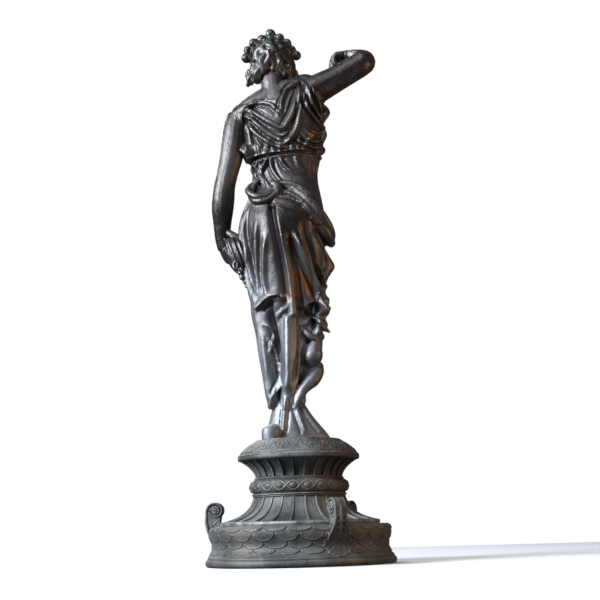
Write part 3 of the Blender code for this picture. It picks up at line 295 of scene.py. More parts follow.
# The clothed body: height, left, right, back, front and the right edge's rise
GOWN_ROWS = (
    (28, -40, 12, -16, 30, 0),
    (60, -38, 10, -14, 28, 0),
    (90, -42, 14, -14, 32, 0),
    (130, -50, 22, -18, 40, 0),
    (170, -56, 30, -22, 50, 0),
    (210, -64, 40, -28, 58, 0),
    (236, -72, 44, -38, 62, 0),
    (250, -79, 48, -45, 64, 0),
    (270, -82, 50, -48, 62, 0),
    (300, -85, 54, -54, 60, 0),
    (330, -89, 58, -60, 58, 0),
    (360, -93, 60, -65, 57, 2),
    (385, -95, 61, -67, 57, 4),
    (410, -94, 60, -63, 58, 6),
    (432, -91, 57, -54, 58, 8),
    (450, -84, 54, -44, 56, 8),
    (470, -76, 51, -34, 53, 6),
    (490, -71, 50, -29, 50, 4),
    (514, -71, 52, -31, 49, 4),
    (525, -82, 54, -37, 54, 5),
    (538, -87, 56, -41, 57, 9),
    (560, -89, 58, -45, 64, 20),
    (580, -91, 60, -49, 66, 30),
    (600, -92, 62, -50, 60, 36),
    (618, -92, 62, -48, 46, 42),
    (632, -84, 58, -43, 32, 44),
    (645, -64, 48, -34, 18, 40),
)
SIDE_FOLD_ROWS = (
    (634, 26, 54, -16, 18, 0),
    (622, 26, 67, -13, 17, 0),
    (610, 26, 73, -12, 15, 0),
    (600, 26, 66, -14, 16, 0),
    (589, 26, 60, -15, 17, 0),
    (577, 26, 63, -13, 16, 0),
    (566, 26, 67, -12, 16, 0),
    (557, 26, 62, -14, 16, 0),
    (546, 26, 58, -16, 16, 0),
    (537, 26, 63, -15, 16, 0),
    (527, 26, 60, -16, 16, 0),
    (519, 26, 54, -14, 14, 0),
)
FLAG_ROWS = (
    (366, 14, 46, -26, 34, 0),
    (345, 18, 60, -24, 32, 0),
    (328, 22, 70, -17, 28, 0),
    (313, 24, 77, -12, 24, 0),
    (300, 24, 69, -14, 26, 0),
    (288, 24, 62, -17, 28, 0),
    (270, 22, 57, -20, 28, 0),
    (252, 20, 60, -20, 26, 0),
    (232, 16, 63, -20, 24, 0),
    (220, 14, 54, -21, 22, 0),
    (211, 14, 55, -20, 20, 0),
    (204, 13, 60, -17, 17, 0),
    (196, 12, 51, -19, 17, 0),
    (188, 11, 50, -18, 16, 0),
    (183, 11, 55, -15, 15, 0),
    (174, 12, 46, -13, 15, 0),
    (150, 12, 42, -6, 15, 0),
    (110, 10, 40, -4, 15, 0),
    (84, 6, 24, -2, 12, 0),
)


def add_body(bm):
    add_mass(bm, GOWN_ROWS)
    add_mass(bm, SIDE_FOLD_ROWS, sides=24, rings=60)
    add_mass(bm, FLAG_ROWS, sides=24, rings=60)
    # Shoulder line, neck and breast
    add_limb(bm, ((-96, -2, 604, 23), (-66, -8, 622, 25), (-30, -10, 640, 27), (8, -6, 654, 26),
                  (40, 0, 652, 25)))
    add_limb(bm, ((-26, -14, 628, 27), (-29, -13, 650, 24), (-32, -11, 672, 22), (-33, -2, 696, 22)))
    # Cloth gathered on the right shoulder
    add_limb(bm, ((12, -8, 662, 14), (28, -4, 671, 17), (42, 0, 671, 16)))
    add_blob(bm, (-46, 42, 583), (25, 25, 24))
    add_blob(bm, (12, 44, 592), (25, 25, 24))
    # Seat under the cloth
    add_blob(bm, (-48, -20, 372), (40, 36, 54))
    add_blob(bm, (14, -20, 378), (38, 36, 54))
    # Puff of cloth over the belt on the left
    add_blob(bm, (-74, -12, 533), (17, 15, 12), (0, 14, 0))


def add_legs(bm):
    # Left leg with the cloth close round it
    add_limb(bm, ((-52, 0, 262, 29), (-54, 0, 225, 26), (-53, -4, 192, 20), (-51, -8, 160, 18),
                  (-48, -10, 130, 16.5), (-46, -10, 100, 14), (-45, -8, 78, 12), (-42, -6, 58, 10)))
    # Right leg crossing behind it
    add_limb(bm, ((-8, -8, 250, 29), (-8, -12, 210, 25), (-8, -18, 172, 21), (-9, -20, 140, 19),
                  (-11, -18, 110, 17), (-14, -14, 80, 15), (-16, -8, 52, 17)))
    # The long fold that runs unbroken from the seat to the floor
    add_limb(bm, ((-6, -24, 290, 22), (-6, -22, 250, 22), (-7, -19, 212, 20), (-9, -19, 176, 18)))
    # Cloth in front of the legs
    add_limb(bm, ((20, 14, 250, 32), (22, 16, 205, 26), (20, 16, 160, 22), (12, 14, 118, 17),
                  (2, 10, 78, 15)))
    add_limb(bm, ((-30, 34, 240, 28), (-32, 34, 190, 25), (-28, 30, 130, 22), (-22, 24, 80, 20),
                  (-18, 20, 44, 20)))


def add_hem_and_feet(bm):
    add_mass(bm, ((-8, -56, 60, -26, 44, 0), (3, -56, 56, -27, 44, 0), (18, -54, 44, -27, 41, 0),
                  (34, -50, 31, -25, 37, 0),
                  (50, -46, 20, -22, 33, 0), (66, -40, 12, -18, 30, 0)), sides=32, rings=20)
    # Heel of the left foot, its toes and the toes of the right
    add_mass(bm, ((-8, -64, -31, -38, -8, 0), (13, -64, -31, -38, -8, 0), (18, -59, -35, -34, -12, 0)),
             sides=24, rings=14)
    add_limb(bm, ((-45, -27, 8, 14, 16), (-45, -6, 8, 14, 18), (-42, 28, 5, 11, 17), (-40, 52, 2, 7, 15)),
             flat=(0, 0, 1))
    add_limb(bm, ((6, 20, 8, 13, 17), (14, 36, 5, 10, 16), (19, 54, 2, 7, 14)), flat=(0, 0, 1))


def press_bodice(clay):
    # Upper edge of the cloth, dipping to a point right of the spine
    clay.stroke("back", ((-90, 616), (-60, 621), (-36, 614), (-25, 603), (-18, 590)), 5.5, 5.5, "pipe",
                (0.12, 0.15))
    clay.stroke("back", ((-18, 588), (-16, 607), (-11, 628), (2, 653), (20, 662)), 5.5, 6, "pipe",
                (0.15, 0.1))
    # Swags hanging between the two shoulder clasps
    clay.stroke("back", ((-82, 615), (-70, 605), (-49, 587), (-28, 573), (-14, 567), (-5, 578), (5, 597),
                         (15, 627), (22, 658)),
                6.5, 7, "pipe", (0.08, 0.08))
    clay.stroke("back", ((-70, 590), (-50, 572), (-30, 560), (-12, 554), (0, 566), (9, 590), (16, 620)),
                4.5, 4, "ridge", (0.2, 0.2))
    clay.stroke("back", ((-82, 608), (-63, 582), (-45, 562), (-26, 549), (-10, 542), (4, 555), (14, 578),
                         (20, 613), (24, 650)),
                6.5, 7.5, "pipe", (0.08, 0.1))
    clay.stroke("back", ((-83, 603), (-70, 573), (-57, 557), (-38, 542), (-20, 534), (0, 538)), 6, 7,
                "pipe", (0.08, 0.2))
    # Steep folds falling from the right clasp, and low ones under the arm
    clay.stroke("back", ((23, 664), (23, 626), (24, 601)), 3.4, -5, "ridge", (0.1, 0.3))
    clay.stroke("back", ((30, 664), (38, 629), (47, 606), (58, 590)), 6, 7.5, "pipe", (0.1, 0.2))
    clay.stroke("back", ((38, 660), (51, 628), (61, 604)), 5, 6.5, "pipe", (0.1, 0.2))
    clay.stroke("back", ((27, 648), (28, 624), (36, 603), (51, 586), (64, 577)), 5.5, 7, "pipe",
                (0.15, 0.15))
    clay.stroke("back", ((20, 560), (33, 547), (48, 549), (60, 558)), 5.5, 6, "pipe", (0.2, 0.15))
    clay.stroke("back", ((28, 576), (42, 566), (60, 567)), 4.5, 4.5, "ridge", (0.25, 0.15))
    clay.stroke("back", ((8, 548), (24, 540), (44, 536), (60, 540)), 5, 5, "pipe", (0.25, 0.15))
    # Armhole slot and the free edge beside it
    clay.stroke("back", ((-80, 596), (-75, 575), (-72, 556), (-70, 542)), 4.5, -10, "ridge", (0.1, 0.2))
    clay.stroke("back", ((-90, 608), (-88, 588), (-88, 566), (-83, 541), (-79, 528)), 4.5, 6, "ridge",
                (0.1, 0.1))
    clay.stroke("back", ((-66, 558), (-58, 545), (-52, 534)), 4, 5, "ridge", (0.2, 0.2))
    clay.family("right", ((-4, 640), (-2, 600), (-4, 560), (-2, 540)),
                ((36, 640), (30, 600), (34, 560), (28, 540)),
                3, 6, 5, "pipe", (0.2, 0.2))
    clay.family("front", ((-92, 606), (-66, 596), (-24, 584), (8, 600), (34, 650)),
                ((-88, 592), (-66, 556), (-22, 540), (16, 552), (40, 630)), 5, 6, 5.5, "pipe", (0.08, 0.08))
    clay.family("front", ((44, 644), (46, 600), (42, 548)), ((54, 640), (56, 590), (54, 544)), 2, 5, 4,
                "pipe")


def press_belt(clay):
    belt = [(b, 523 + 4 * math.sin(math.radians(b))) for b in range(-180, 181, 20)]
    clay.stroke("round", belt, 7, -6, "ridge", (0.02, 0.02))
    for offset in (-3.4, 3.4):
        clay.stroke("round", [(b, h + offset) for b, h in belt], 2.8, 5.0, "ridge", (0.02, 0.02))
    for k in range(26):
        bearing = -180 + k * 360 / 26
        middle = 523 + 4 * math.sin(math.radians(bearing))
        sway = 5 * math.sin(2.1 * k)
        clay.stroke("round", ((bearing, middle + 8), (bearing + sway, middle + 18),
                              (bearing + 2.6 * sway, middle + 32)),
                    4.2, 4.2 + math.sin(3.3 * k), "ridge", (0.05, 0.6))
        if abs(bearing) > 66:
            clay.stroke("round", ((bearing + 4, middle - 8), (bearing + 5 - sway, middle - 24),
                                  (bearing + 3, middle - 48)),
                        4.5, 3.2 + math.sin(4.7 * k), "ridge", (0.05, 0.6))
    # Cloth below the belt: gathers over the left hip, curved folds behind, smoother to the right
    clay.family("back", ((-70, 512), (-66, 490), (-70, 462)), ((-44, 515), (-54, 488), (-40, 456)), 4, 4.6,
                6.5, "pipe", (0.06, 0.2))
    clay.stroke("back", ((-52, 513), (-60, 486), (-64, 462)), 4, 5, "ridge", (0.1, 0.3))
    clay.stroke("back", ((-38, 516), (-34, 494), (-22, 472), (-6, 462)), 5, 5.5, "pipe", (0.1, 0.3))
    clay.stroke("back", ((-20, 516), (-12, 500), (4, 486), (20, 482)), 5, 4.5, "pipe", (0.1, 0.4))
    clay.stroke("back", ((8, 518), (14, 502), (26, 490)), 4.5, 3.5, "pipe", (0.1, 0.5))
    clay.stroke("back", ((34, 520), (36, 498), (34, 470)), 5, 3.0, "ridge", (0.1, 0.5))


def press_skirt(clay):
    # Embroidered band along the edge of the mantle
    band_top = ((-40, 430), (-14, 425), (15, 418), (38, 404))
    band_foot = ((-36, 418), (-12, 411), (12, 402), (34, 388))
    clay.stroke("back", band_top, 2.6, 3.0, "ridge", (0.05, 0.05))
    clay.stroke("back", band_foot, 2.6, 3.6, "ridge", (0.05, 0.05))
    clay.stroke("back", ((-38, 424), (-13, 418), (13, 410), (36, 396)), 6, 2.0, "ridge", (0.05, 0.05))
    clay.stroke("back", ((-38, 428), (-35, 390), (-27, 347), (-21, 300), (-16, 254), (-14, 214)), 8, -12,
                "ridge", (0.1, 0.05))
    clay.stroke("back", ((-29, 408), (-21, 356), (-10, 300), (-4, 245), (-1, 208)), 8, 6, "ridge",
                (0.3, 0.1))
    clay.stroke("back", ((-8, 374), (0, 333), (8, 290), (12, 244), (12, 200)), 8, -9, "ridge", (0.3, 0.1))
    clay.stroke("back", ((1, 372), (13, 336), (28, 295), (43, 253), (56, 214)), 8, 10, "pipe", (0.25, 0.05))
    clay.stroke("back", ((14, 388), (29, 345), (44, 302), (56, 270)), 8, -10, "ridge", (0.3, 0.1))
    clay.stroke("back", ((38, 372), (52, 345), (66, 318)), 6, 5, "ridge", (0.2, 0.2))
    clay.stroke("back", ((40, 320), (54, 290), (60, 250), (56, 222)), 5, 5, "pipe", (0.2, 0.2))
    clay.stroke("back", ((20, 330), (34, 290), (38, 250), (34, 214)), 5, 5, "pipe", (0.3, 0.2))
    clay.stroke("back", ((-62, 409), (-67, 357), (-66, 301), (-62, 252)), 8, 3.5, "ridge", (0.3, 0.2))
    clay.stroke("back", ((-46, 371), (-52, 329), (-53, 283), (-47, 252)), 7, 6, "ridge", (0.3, 0.1))
    clay.stroke("back", ((-57, 380), (-60, 330), (-60, 290), (-56, 254)), 5, -3.5, "ridge", (0.3, 0.2))
    clay.stroke("back", ((-80, 370), (-81, 320), (-76, 270), (-72, 236)), 6, 3, "ridge", (0.4, 0.2))
    # Hem of the overskirt, with a corner turned back on itself
    clay.stroke("back", ((-68, 228), (-62, 237), (-52, 246), (-40, 251), (-26, 252)), 5, 9, "hem",
                (0.1, 0.1))
    clay.stroke("back", ((-58, 228), (-49, 237), (-38, 241)), 6, -10, "ridge", (0.2, 0.2))
    clay.stroke("back", ((-27, 252), (-16, 247), (-13, 237), (-18, 226), (-33, 213)), 5.5, 10, "ridge",
                (0.15, 0.15))
    # Ragged edges of the mantle on the right
    clay.stroke("back", ((14, 226), (28, 242), (44, 236), (60, 206)), 5, 7, "hem", (0.1, 0.1))
    clay.stroke("back", ((17, 226), (26, 220), (33, 206), (34, 192)), 6, -9, "ridge", (0.2, 0.2))
    clay.stroke("back", ((30, 214), (42, 208), (56, 186)), 4.5, 6, "pipe", (0.2, 0.1))
    clay.stroke("back", ((12, 200), (22, 208), (30, 224)), 4, 5, "ridge", (0.2, 0.2))
    # Underskirt: a dark slot beside the left leg, a lit column down the middle, the left cloth's ragged edge
    clay.stroke("back", ((-44, 240), (-41, 216), (-37, 196), (-34, 180), (-31, 152), (-30, 128)), 5.5, -11,
                "ridge", (0.08, 0.25))
    clay.stroke("back", ((-59, 203), (-47, 195), (-41, 187), (-42, 178), (-47, 165), (-41, 157), (-36, 143),
                         (-34, 124),
                         (-34, 104), (-38, 84), (-43, 62)), 4.5, 6, "hem", (0.08, 0.15))
    clay.stroke("back", ((-14, 242), (-13, 201), (-14, 141), (-15, 101), (-22, 73)), 9, 5, "ridge",
                (0.15, 0.2))
    clay.stroke("back", ((9, 236), (9, 200), (8, 160), (3, 124), (-4, 88)), 7, -9, "ridge", (0.1, 0.2))
    clay.stroke("back", ((-30, 112), (-36, 92), (-44, 70)), 4.5, 5, "pipe", (0.2, 0.2))
    clay.stroke("back", ((-58, 190), (-56, 150), (-50, 100)), 6, 3.5, "ridge", (0.2, 0.2))
    clay.stroke("back", ((-50, 178), (-44, 166), (-46, 150)), 4, 4, "ridge", (0.2, 0.2))
    for x, lean in ((-66, 4), (-40, 10), (-14, 2), (10, 8), (34, -4)):
        clay.stroke("front", ((x * 0.72 - 6, 420), (x * 0.8, 340), (x * 0.8 + lean, 250),
                              (x * 0.6 + lean, 130), (x * 0.45 - 8, 40)),
                    9, 8, "pipe", (0.25, 0.1))
    clay.family("left", ((-30, 430), (-26, 340), (-22, 250)), ((30, 430), (36, 340), (34, 230)), 4, 8, 6,
                "pipe", (0.3, 0.2))
    clay.family("right", ((-18, 250), (-16, 200), (-10, 120)), ((30, 250), (34, 200), (30, 120)), 3, 7, 5,
                "pipe", (0.3, 0.2))
    # Hem spreading on the disc
    clay.stroke("back", ((-44, 78), (-50, 46), (-54, 20)), 6, 4, "ridge", (0.3, 0.1))
    clay.stroke("back", ((-20, 74), (-22, 44), (-26, 6)), 6, 4, "pipe", (0.3, 0.1))
    clay.stroke("back", ((-8, 70), (2, 40), (14, 4)), 6, 4, "pipe", (0.3, 0.1))
    clay.stroke("back", ((4, 62), (22, 32), (42, 4)), 5, 3.5, "pipe", (0.3, 0.1))


def add_left_arm(bm):
    add_blob(bm, (-94, 0, 598), (24, 26, 29))
    add_limb(bm, ((-98, 0, 606, 23), (-104, -2, 578, 23.5), (-111, -4, 530, 22.5), (-118, -6, 500, 20.5),
                  (-125, -6, 470, 20.5), (-128, -2, 446, 21.5), (-130, 4, 425, 20.5), (-131, 12, 402, 17),
                  (-131, 18, 378, 15), (-127, 22, 358, 14.5)))
    # Back of the hand and four fingers closing on the bunch
    add_limb(bm, ((-128, 22, 362, 14, 12), (-124, 24, 347, 16, 11), (-118, 26, 335, 16, 10)),
             flat=(0, 1, 0))
    for y, lift in ((8, 2), (18, 0), (28, 3), (37, 9)):
        add_limb(bm, ((-120, y, 340 + lift, 6.5), (-111, y + 2, 322 + lift, 6),
                      (-101, y + 2, 312 + lift, 5.5), (-93, y + 2, 314 + lift, 5)))
    add_limb(bm, ((-122, 10, 350, 7.5), (-114, 0, 338, 6.5), (-107, -4, 328, 5.5)))


def add_held_bunch(bm):
    """Stalks and blossoms held against the hip by the left hand."""
    for k in range(8):
        x = -122 + 4.6 * k
        y = -4 - 8 * math.sin(math.pi * (k + 1.5) / 10) - 3.4 * (k % 2)
        add_limb(bm, ((x - 3, y + 10, 370, 2.2), (x, y, 357, 2.5), (x + 6, y - 3, 340, 2.6),
                      (x + 12, y - 1, 324, 2.4), (x + 15, y + 5, 314, 2.0)),
                 sides=10, rings=16)
    add_limb(bm, ((-104, 12, 376, 9), (-99, 12, 352, 9), (-96, 12, 324, 9), (-93, 10, 304, 7)))
    add_limb(bm, ((-120, 8, 384, 7), (-110, 4, 376, 8), (-98, 2, 369, 7)))
    ring = [(-106 + 4 * math.cos(a), -15, 316 + 6.5 * math.sin(a),
             2.2) for a in (math.pi * 2 * k / 10 for k in range(11))]
    add_limb(bm, ring, sides=10, rings=30)
    for x, y, h, r in ((-98, -5, 304, 5.5), (-95, -5, 295, 5.5), (-90, -3, 287, 4.6), (-87, -2, 279, 4)):
        add_blob(bm, (x, y, h), (r, r, r))


def add_right_arm(bm):
    add_blob(bm, (44, 2, 648), (28, 27, 27))
    add_limb(bm, ((36, 0, 650, 29), (62, 0, 664, 27.5), (90, -2, 678, 25), (118, -5, 693, 24),
                  (137, -7, 704, 24),
                  (143, -6, 709, 23.5)))
    add_limb(bm, ((143, -8, 708, 23.5), (143.5, 12, 716, 23.5), (141.5, 36, 730, 22), (136, 60, 744, 19),
                  (130, 82, 757, 16),
                  (126, 98, 765, 14.5)))
    # Hand turned inwards before the brow, its fingers bent down
    add_limb(bm, ((128, 94, 764, 14, 12), (118, 102, 769, 17, 10), (107, 105, 769, 18, 10)),
             flat=(0.1, 1, 0))
    for y, reach, drop in ((91, 93, 746), (100, 89, 738), (110, 87, 732), (119, 90, 731)):
        add_limb(bm, ((107, y, 768, 6.6), (reach + 3, y, 767, 6.2),
                      (reach - 1, y + 1, (drop + 767) / 2, 5.6), (reach + 2, y + 1, drop, 4.8)))
    add_limb(bm, ((122, 112, 757, 7.5), (112, 116, 744, 6.8), (102, 114, 736, 6)))


HEAD_CENTRE = Vector((-32, 2, 722))
HEAD_TURN = Matrix.Rotation(math.radians(-22), 4, "Z") @ Matrix.Rotation(math.radians(6), 4, "X")


def head_place(x, y, z):
    return HEAD_CENTRE + HEAD_TURN @ Vector((x, y, z))


def add_face(bm):
    add_blob(bm, head_place(0, 0, 2), (36, 44, 42))
    add_blob(bm, head_place(0, 15, -16), (28, 28, 36), (0, 0, -22))
    add_blob(bm, head_place(0, 22, -36), (19, 20, 17), (0, 0, -22))
    add_blob(bm, head_place(0, 37, -45), (8.5, 8, 7.5))
    for side in (-1, 1):
        add_blob(bm, head_place(14 * side, 32, -14), (10, 10, 11))
        add_blob(bm, head_place(14 * side, 36.5, 1), (7.5, 5, 4.5))
        add_limb(bm, [(*head_place(x * side, y, z), 3.4) for x, y,
                      z in ((4, 43, 7), (13, 42.5, 9), (23, 37, 6))], rings=8)
        add_blob(bm, head_place(34 * side, 2, -6), (4, 7, 10))
    add_limb(bm, [(*head_place(0, y, z), r) for y, z, r in ((42, 6, 3.4), (46, -4, 3.8), (51, -14, 5))],
             rings=8)
    for lip_height, lip_radius in ((-25, 3.2), (-30, 3.4)):
        add_limb(bm, [(*head_place(x, y, lip_height), lip_radius) for x,
                      y in ((-9, 40), (0, 44.5), (9, 40))], rings=8)


def add_hair(bm):
    add_blob(bm, (-33, -4, 721), (38, 38, 38))
    add_blob(bm, (-60, -6, 694), (17, 22, 28))
    add_blob(bm, (-5, -8, 698), (21, 23, 28))
    # Staggered tiers of curling locks round the back of the head
    for tier, (top, low, count) in enumerate(((56, 20, 8), (30, -10, 11), (0, -40, 12))):
        for k in range(count):
            bearing = -112 + 224 * (k + 0.5 * (tier % 2)) / (count - 0.5)
            lock = []
            for j in range(6):
                t = j / 5
                height = math.radians(top + (low - top) * t)
                sway = math.radians(bearing + 10 * math.sin(5.2 * t + 1.9 * k + tier) + 8 * (t - 0.5))
                out = Vector((math.sin(sway) * math.cos(height), -math.cos(sway) * math.cos(height),
                              math.sin(height)))
                lock.append((-33 + 39 * out.x, -4 + 38 * out.y, 720 + 39 * out.z,
                             2.8 + 3.2 * math.sin(math.pi * (0.15 + 0.75 * t))))
            add_limb(bm, lock, sides=12, rings=16)
    # Locks that end low on the left and along the nape
    for k, (x, y, h) in enumerate(((-78, 2, 664), (-73, -10, 662), (-66, -19, 663), (-58, -26, 668),
                                   (-49, -31, 676),
                                   (-39, -33, 684), (-28, -32, 682), (-17, -29, 676), (-7, -25, 672),
                                   (3, -19, 671), (12, -9, 672))):
        lean = 5 if k % 2 else -4
        add_limb(bm, ((x * 0.75 - 8, y - 13, h + 36, 4.5), (x * 0.9 - 4 + lean, y - 9, h + 24, 6),
                      (x - lean * 0.6, y - 5, h + 11, 6),
                      (x + lean * 0.4, y, h + 2, 4.5)), sides=12, rings=16)
    # Chaplet of round blossoms
    for x, y, h, r in ((-81, -8, 722, 10.5), (-78, -4, 740, 9), (-66, -8, 754, 10), (-50, -8, 762, 9.5),
                       (-33, -8, 773, 10.5),
                       (-15, -8, 764, 9.5), (-1, -8, 752, 9.5), (8, -6, 738, 9), (17, -2, 727, 10),
                       (-71, 12, 749, 8), (-57, 14, 763, 8.5), (-41, 14, 769, 8.5), (-24, 14, 768, 8.5),
                       (-7, 14, 757, 8), (8, 12, 744, 8)):
        add_blob(bm, (x, y, h), (r, r, r))


def add_roll(bm, rows, strands=3, turns=0.7, rings=30):
    """Rolled cloth: strands winding round one another along rows of x, y, height, radius."""
    samples = smooth_through(rows, rings)
    centres = [Vector(r[:3]) for r in samples]
    for strand in range(strands):
        wound = []
        for i, centre in enumerate(centres):
            ahead = (centres[min(i + 1, rings - 1)] - centres[max(i - 1, 0)]).normalized()
            side = ahead.cross(Vector((0, 0, 1))).normalized()
            up = side.cross(ahead)
            angle = 2 * math.pi * (strand / strands + turns * i / (rings - 1))
            radius = samples[i][3]
            wound.append((*(centre + (side * math.cos(angle) + up * math.sin(angle)) * radius * 0.42),
                          radius * 0.64))
        add_limb(bm, wound, sides=12, rings=rings)


def add_sash(bm):
    # Loop over the left hip, its knot, and the long roll down to the right hip
    add_roll(bm, ((-56, -18, 478, 6), (-72, -24, 464, 8), (-77, -36, 446, 9.5), (-65, -48, 432, 10),
                  (-46, -53, 431, 9.5),
                  (-32, -50, 441, 8.5), (-20, -44, 453, 7.5)), 2, 0.4)
    add_limb(bm, ((-34, -46, 462, 7), (-24, -47, 452, 9), (-18, -46, 440, 7), (-20, -48, 428, 5)))
    add_roll(bm, ((-26, -40, 463, 6), (-10, -44, 459, 8.5), (10, -48, 450, 10), (31, -52, 430, 11.5),
                  (47, -48, 404, 13),
                  (60, -36, 378, 14), (67, -18, 362, 13), (67, 2, 361, 12), (60, 24, 380, 10),
                  (46, 44, 408, 9)), 3, 0.7, 44)
    add_limb(bm, ((-30, -46, 446, 4), (-8, -50, 441, 5), (16, -55, 426, 5.5), (34, -56, 404, 6),
                  (48, -50, 382, 5)))
    # Roll of the mantle across the front
    add_roll(bm, ((-56, -16, 478, 6), (-74, 8, 468, 9), (-66, 42, 458, 10), (-20, 60, 440, 11),
                  (20, 56, 424, 10), (46, 40, 408, 9)), 3, 1.2, 40)


def add_cascade(bm):
    """The lowest end of the mantle: a rounded bunch, and a second one twisted across below it."""
    add_limb(bm, ((42, -4, 186, 5), (40, -7, 172, 10), (33, -10, 157, 16), (27, -8, 138, 15)), rings=24)
    add_blob(bm, (31, -11, 146), (18, 17, 22), (0, 14, 0))
    add_blob(bm, (24, 2, 124), (18, 14, 34))
    add_limb(bm, ((42, 2, 130, 8), (39, -5, 117, 11.5), (30, -12, 103, 13.5), (19, -17, 92, 11.5),
                  (10, -20, 81, 9.5),
                  (3, -20, 66, 8), (-4, -19, 50, 5.5)), rings=36)
    add_limb(bm, ((14, -14, 196, 4), (20, -20, 186, 6), (30, -20, 178, 6), (40, -14, 174, 5)))
    # Two sharp corners of cloth on the right
    add_limb(bm, ((44, -2, 202, 8), (54, -2, 196, 5.5), (63, -2, 189, 2)), rings=12)
    add_limb(bm, ((48, 0, 244, 8), (57, 2, 239, 5.5), (66, 4, 234, 2.2)), rings=12)


def add_head(bm):
    """Face and hair, settled into their place on the neck."""
    head = bmesh.new()
    add_face(head)
    add_hair(head)
    mesh = bpy.data.meshes.new("head")
    head.to_mesh(mesh)
    head.free()
    seat = Matrix.Translation((-33, -4, 740))
    mesh.transform(seat @ Matrix.Diagonal((0.975, 0.975, 0.93, 1)) @ seat.inverted())
    bm.from_mesh(mesh)
    bpy.data.meshes.remove(mesh)


def figure_casting():
    """The whole casting of the figure, its soles cut flat on the disc."""
    bm = bmesh.new()
    add_body(bm)
    add_legs(bm)
    add_hem_and_feet(bm)
    gown = fused(bm, "gown", CLAY_STEP, 4)
    clay = Clay(gown)
    press_bodice(clay)
    press_belt(clay)
    press_skirt(clay)
    clay.settle()
    bm = bmesh.new()
    for shape in (add_left_arm, add_held_bunch, add_right_arm, add_head, add_sash, add_cascade):
        shape(bm)
    bm.from_mesh(gown.data)
    bpy.data.objects.remove(gown)
    whole = fused(bm, "figure_casting", CLAY_STEP, 1)
    step = FIGURE_HEIGHT / FIGURE_GRID
    whole.data.transform(Matrix.Scale(step, 4))
    thinned(whole, FIGURE_TRIANGLES)
    cut = bmesh.new()
    cut.from_mesh(whole.data)
    below = bmesh.ops.bisect_plane(cut, geom=cut.verts[:] + cut.edges[:] + cut.faces[:],
                                   plane_co=(0, 0, FIGURE_SOLE * step),
                                   plane_no=(0, 0, -1), clear_outer=True)
    rim = [e for e in below["geom_cut"] if isinstance(e, bmesh.types.BMEdge)]
    bmesh.ops.contextual_create(cut, geom=rim)
    cut.to_mesh(whole.data)
    cut.free()
    whole.data.transform(Matrix.Translation((0, 0, FIGURE_FOOT - FIGURE_SOLE * step)))
    return whole


# Turned shapes of the plinth, in metres
FLUTE_COUNT = 26
BEAD_COUNT = 22
BEAD_BEARING = math.radians(-6.3)
LEAF_COUNT = 24
SCALE_COUNT = 24
SCALE_TIPS = (0.0580, 0.0425, 0.0300, 0.0200)
SCALES_TOP = 0.0668
SEAM_OFFSET = -0.004
BRACKET_COUNT = 3
BRACKET_BEARING = math.radians(24)

RIM_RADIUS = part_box("base_drum")[1].x
LEDGE_RADIUS = RIM_RADIUS - 0.0135
SOCLE_FOOT = SOCLE_LOW.z
DISC_TOP = SOCLE_HIGH.z
PLATE_RADIUS = SOCLE_HIGH.x
FLARE_RADIUS = PLATE_RADIUS - 0.002
DISC_RADIUS = 0.1085
DISC_TOP_RADIUS = 0.077
DISC_EDGE = DISC_TOP - 0.028
NECK_RADIUS = 0.0775
NECK_TOP = DISC_EDGE - 0.008
NECK_FOOT = NECK_TOP - 0.030
TORUS_TOP = NECK_FOOT - 0.004
TORUS_FOOT = TORUS_TOP - 0.023
TORUS_RADIUS = 0.0872
TORUS_SEAT = 0.0795
FLARE_TOP_RADIUS = 0.082
FLARE_TOP = TORUS_FOOT - 0.007
FLARE_FOOT = SOCLE_FOOT + 0.0065


def bell(x):
    return np.exp(-x * x)


def soft_step(x):
    """0 below -1, 1 above 1, smooth between."""
    t = np.clip((x + 1) / 2, 0, 1)
    return t * t * (3 - 2 * t)


def joined_runs(runs):
    """One profile from named runs of radius, height rows, and where each run lies in it."""
    profile, spans = [], {}
    for name, rows in runs.items():
        spans[name] = (len(profile), len(profile) + len(rows))
        profile += [tuple(row) for row in rows]
    return profile, spans


def along_run(row, span):
    """How far along its run a row lies, and whether it lies there at all."""
    first, after = span
    return (row - first) / (after - 1 - first), (row >= first) & (row < after)


def turned_skin(name, profile, steps, relief):
    """Rows of radius, height from top to bottom turned about Z; relief says how far each place stands out."""
    rows = np.array(profile)
    tangent = np.gradient(rows, axis=0)
    tangent /= np.linalg.norm(tangent, axis=1)[:, None]
    outward = np.stack([-tangent[:, 1], tangent[:, 0]], axis=1)
    # Bearings are counted from the -Y side towards +X.
    row, turn = np.meshgrid(np.arange(len(rows)), np.arange(steps) * 2 * math.pi / steps, indexing="ij")
    raised = relief(row, turn, rows[row, 0], rows[row, 1])
    radius = rows[row, 0] + outward[row, 0] * raised
    height = rows[row, 1] + outward[row, 1] * raised
    points = np.stack([radius * np.sin(turn), -radius * np.cos(turn), height], axis=-1).reshape(-1, 3)
    faces = []
    for k in range(len(rows) - 1):
        here, there = k * steps, (k + 1) * steps
        faces += [(here + n, there + n, there + (n + 1) % steps,
                   here + (n + 1) % steps) for n in range(steps)]
    faces.append(tuple(range(steps)))
    faces.append(tuple(range(len(points) - 1, len(points) - 1 - steps, -1)))
    mesh = bpy.data.meshes.new(name)
    mesh.from_pydata(points.tolist(), [], faces)
    bm = bmesh.new()
    bm.from_mesh(mesh)
    bmesh.ops.recalc_face_normals(bm, faces=bm.faces)
    bm.to_mesh(mesh)
    bm.free()
    mesh.shade_smooth()
    mesh.set_sharp_from_angle(angle=math.radians(48))
    obj = bpy.data.objects.new(name, mesh)
    bpy.context.scene.collection.objects.link(obj)
    return obj


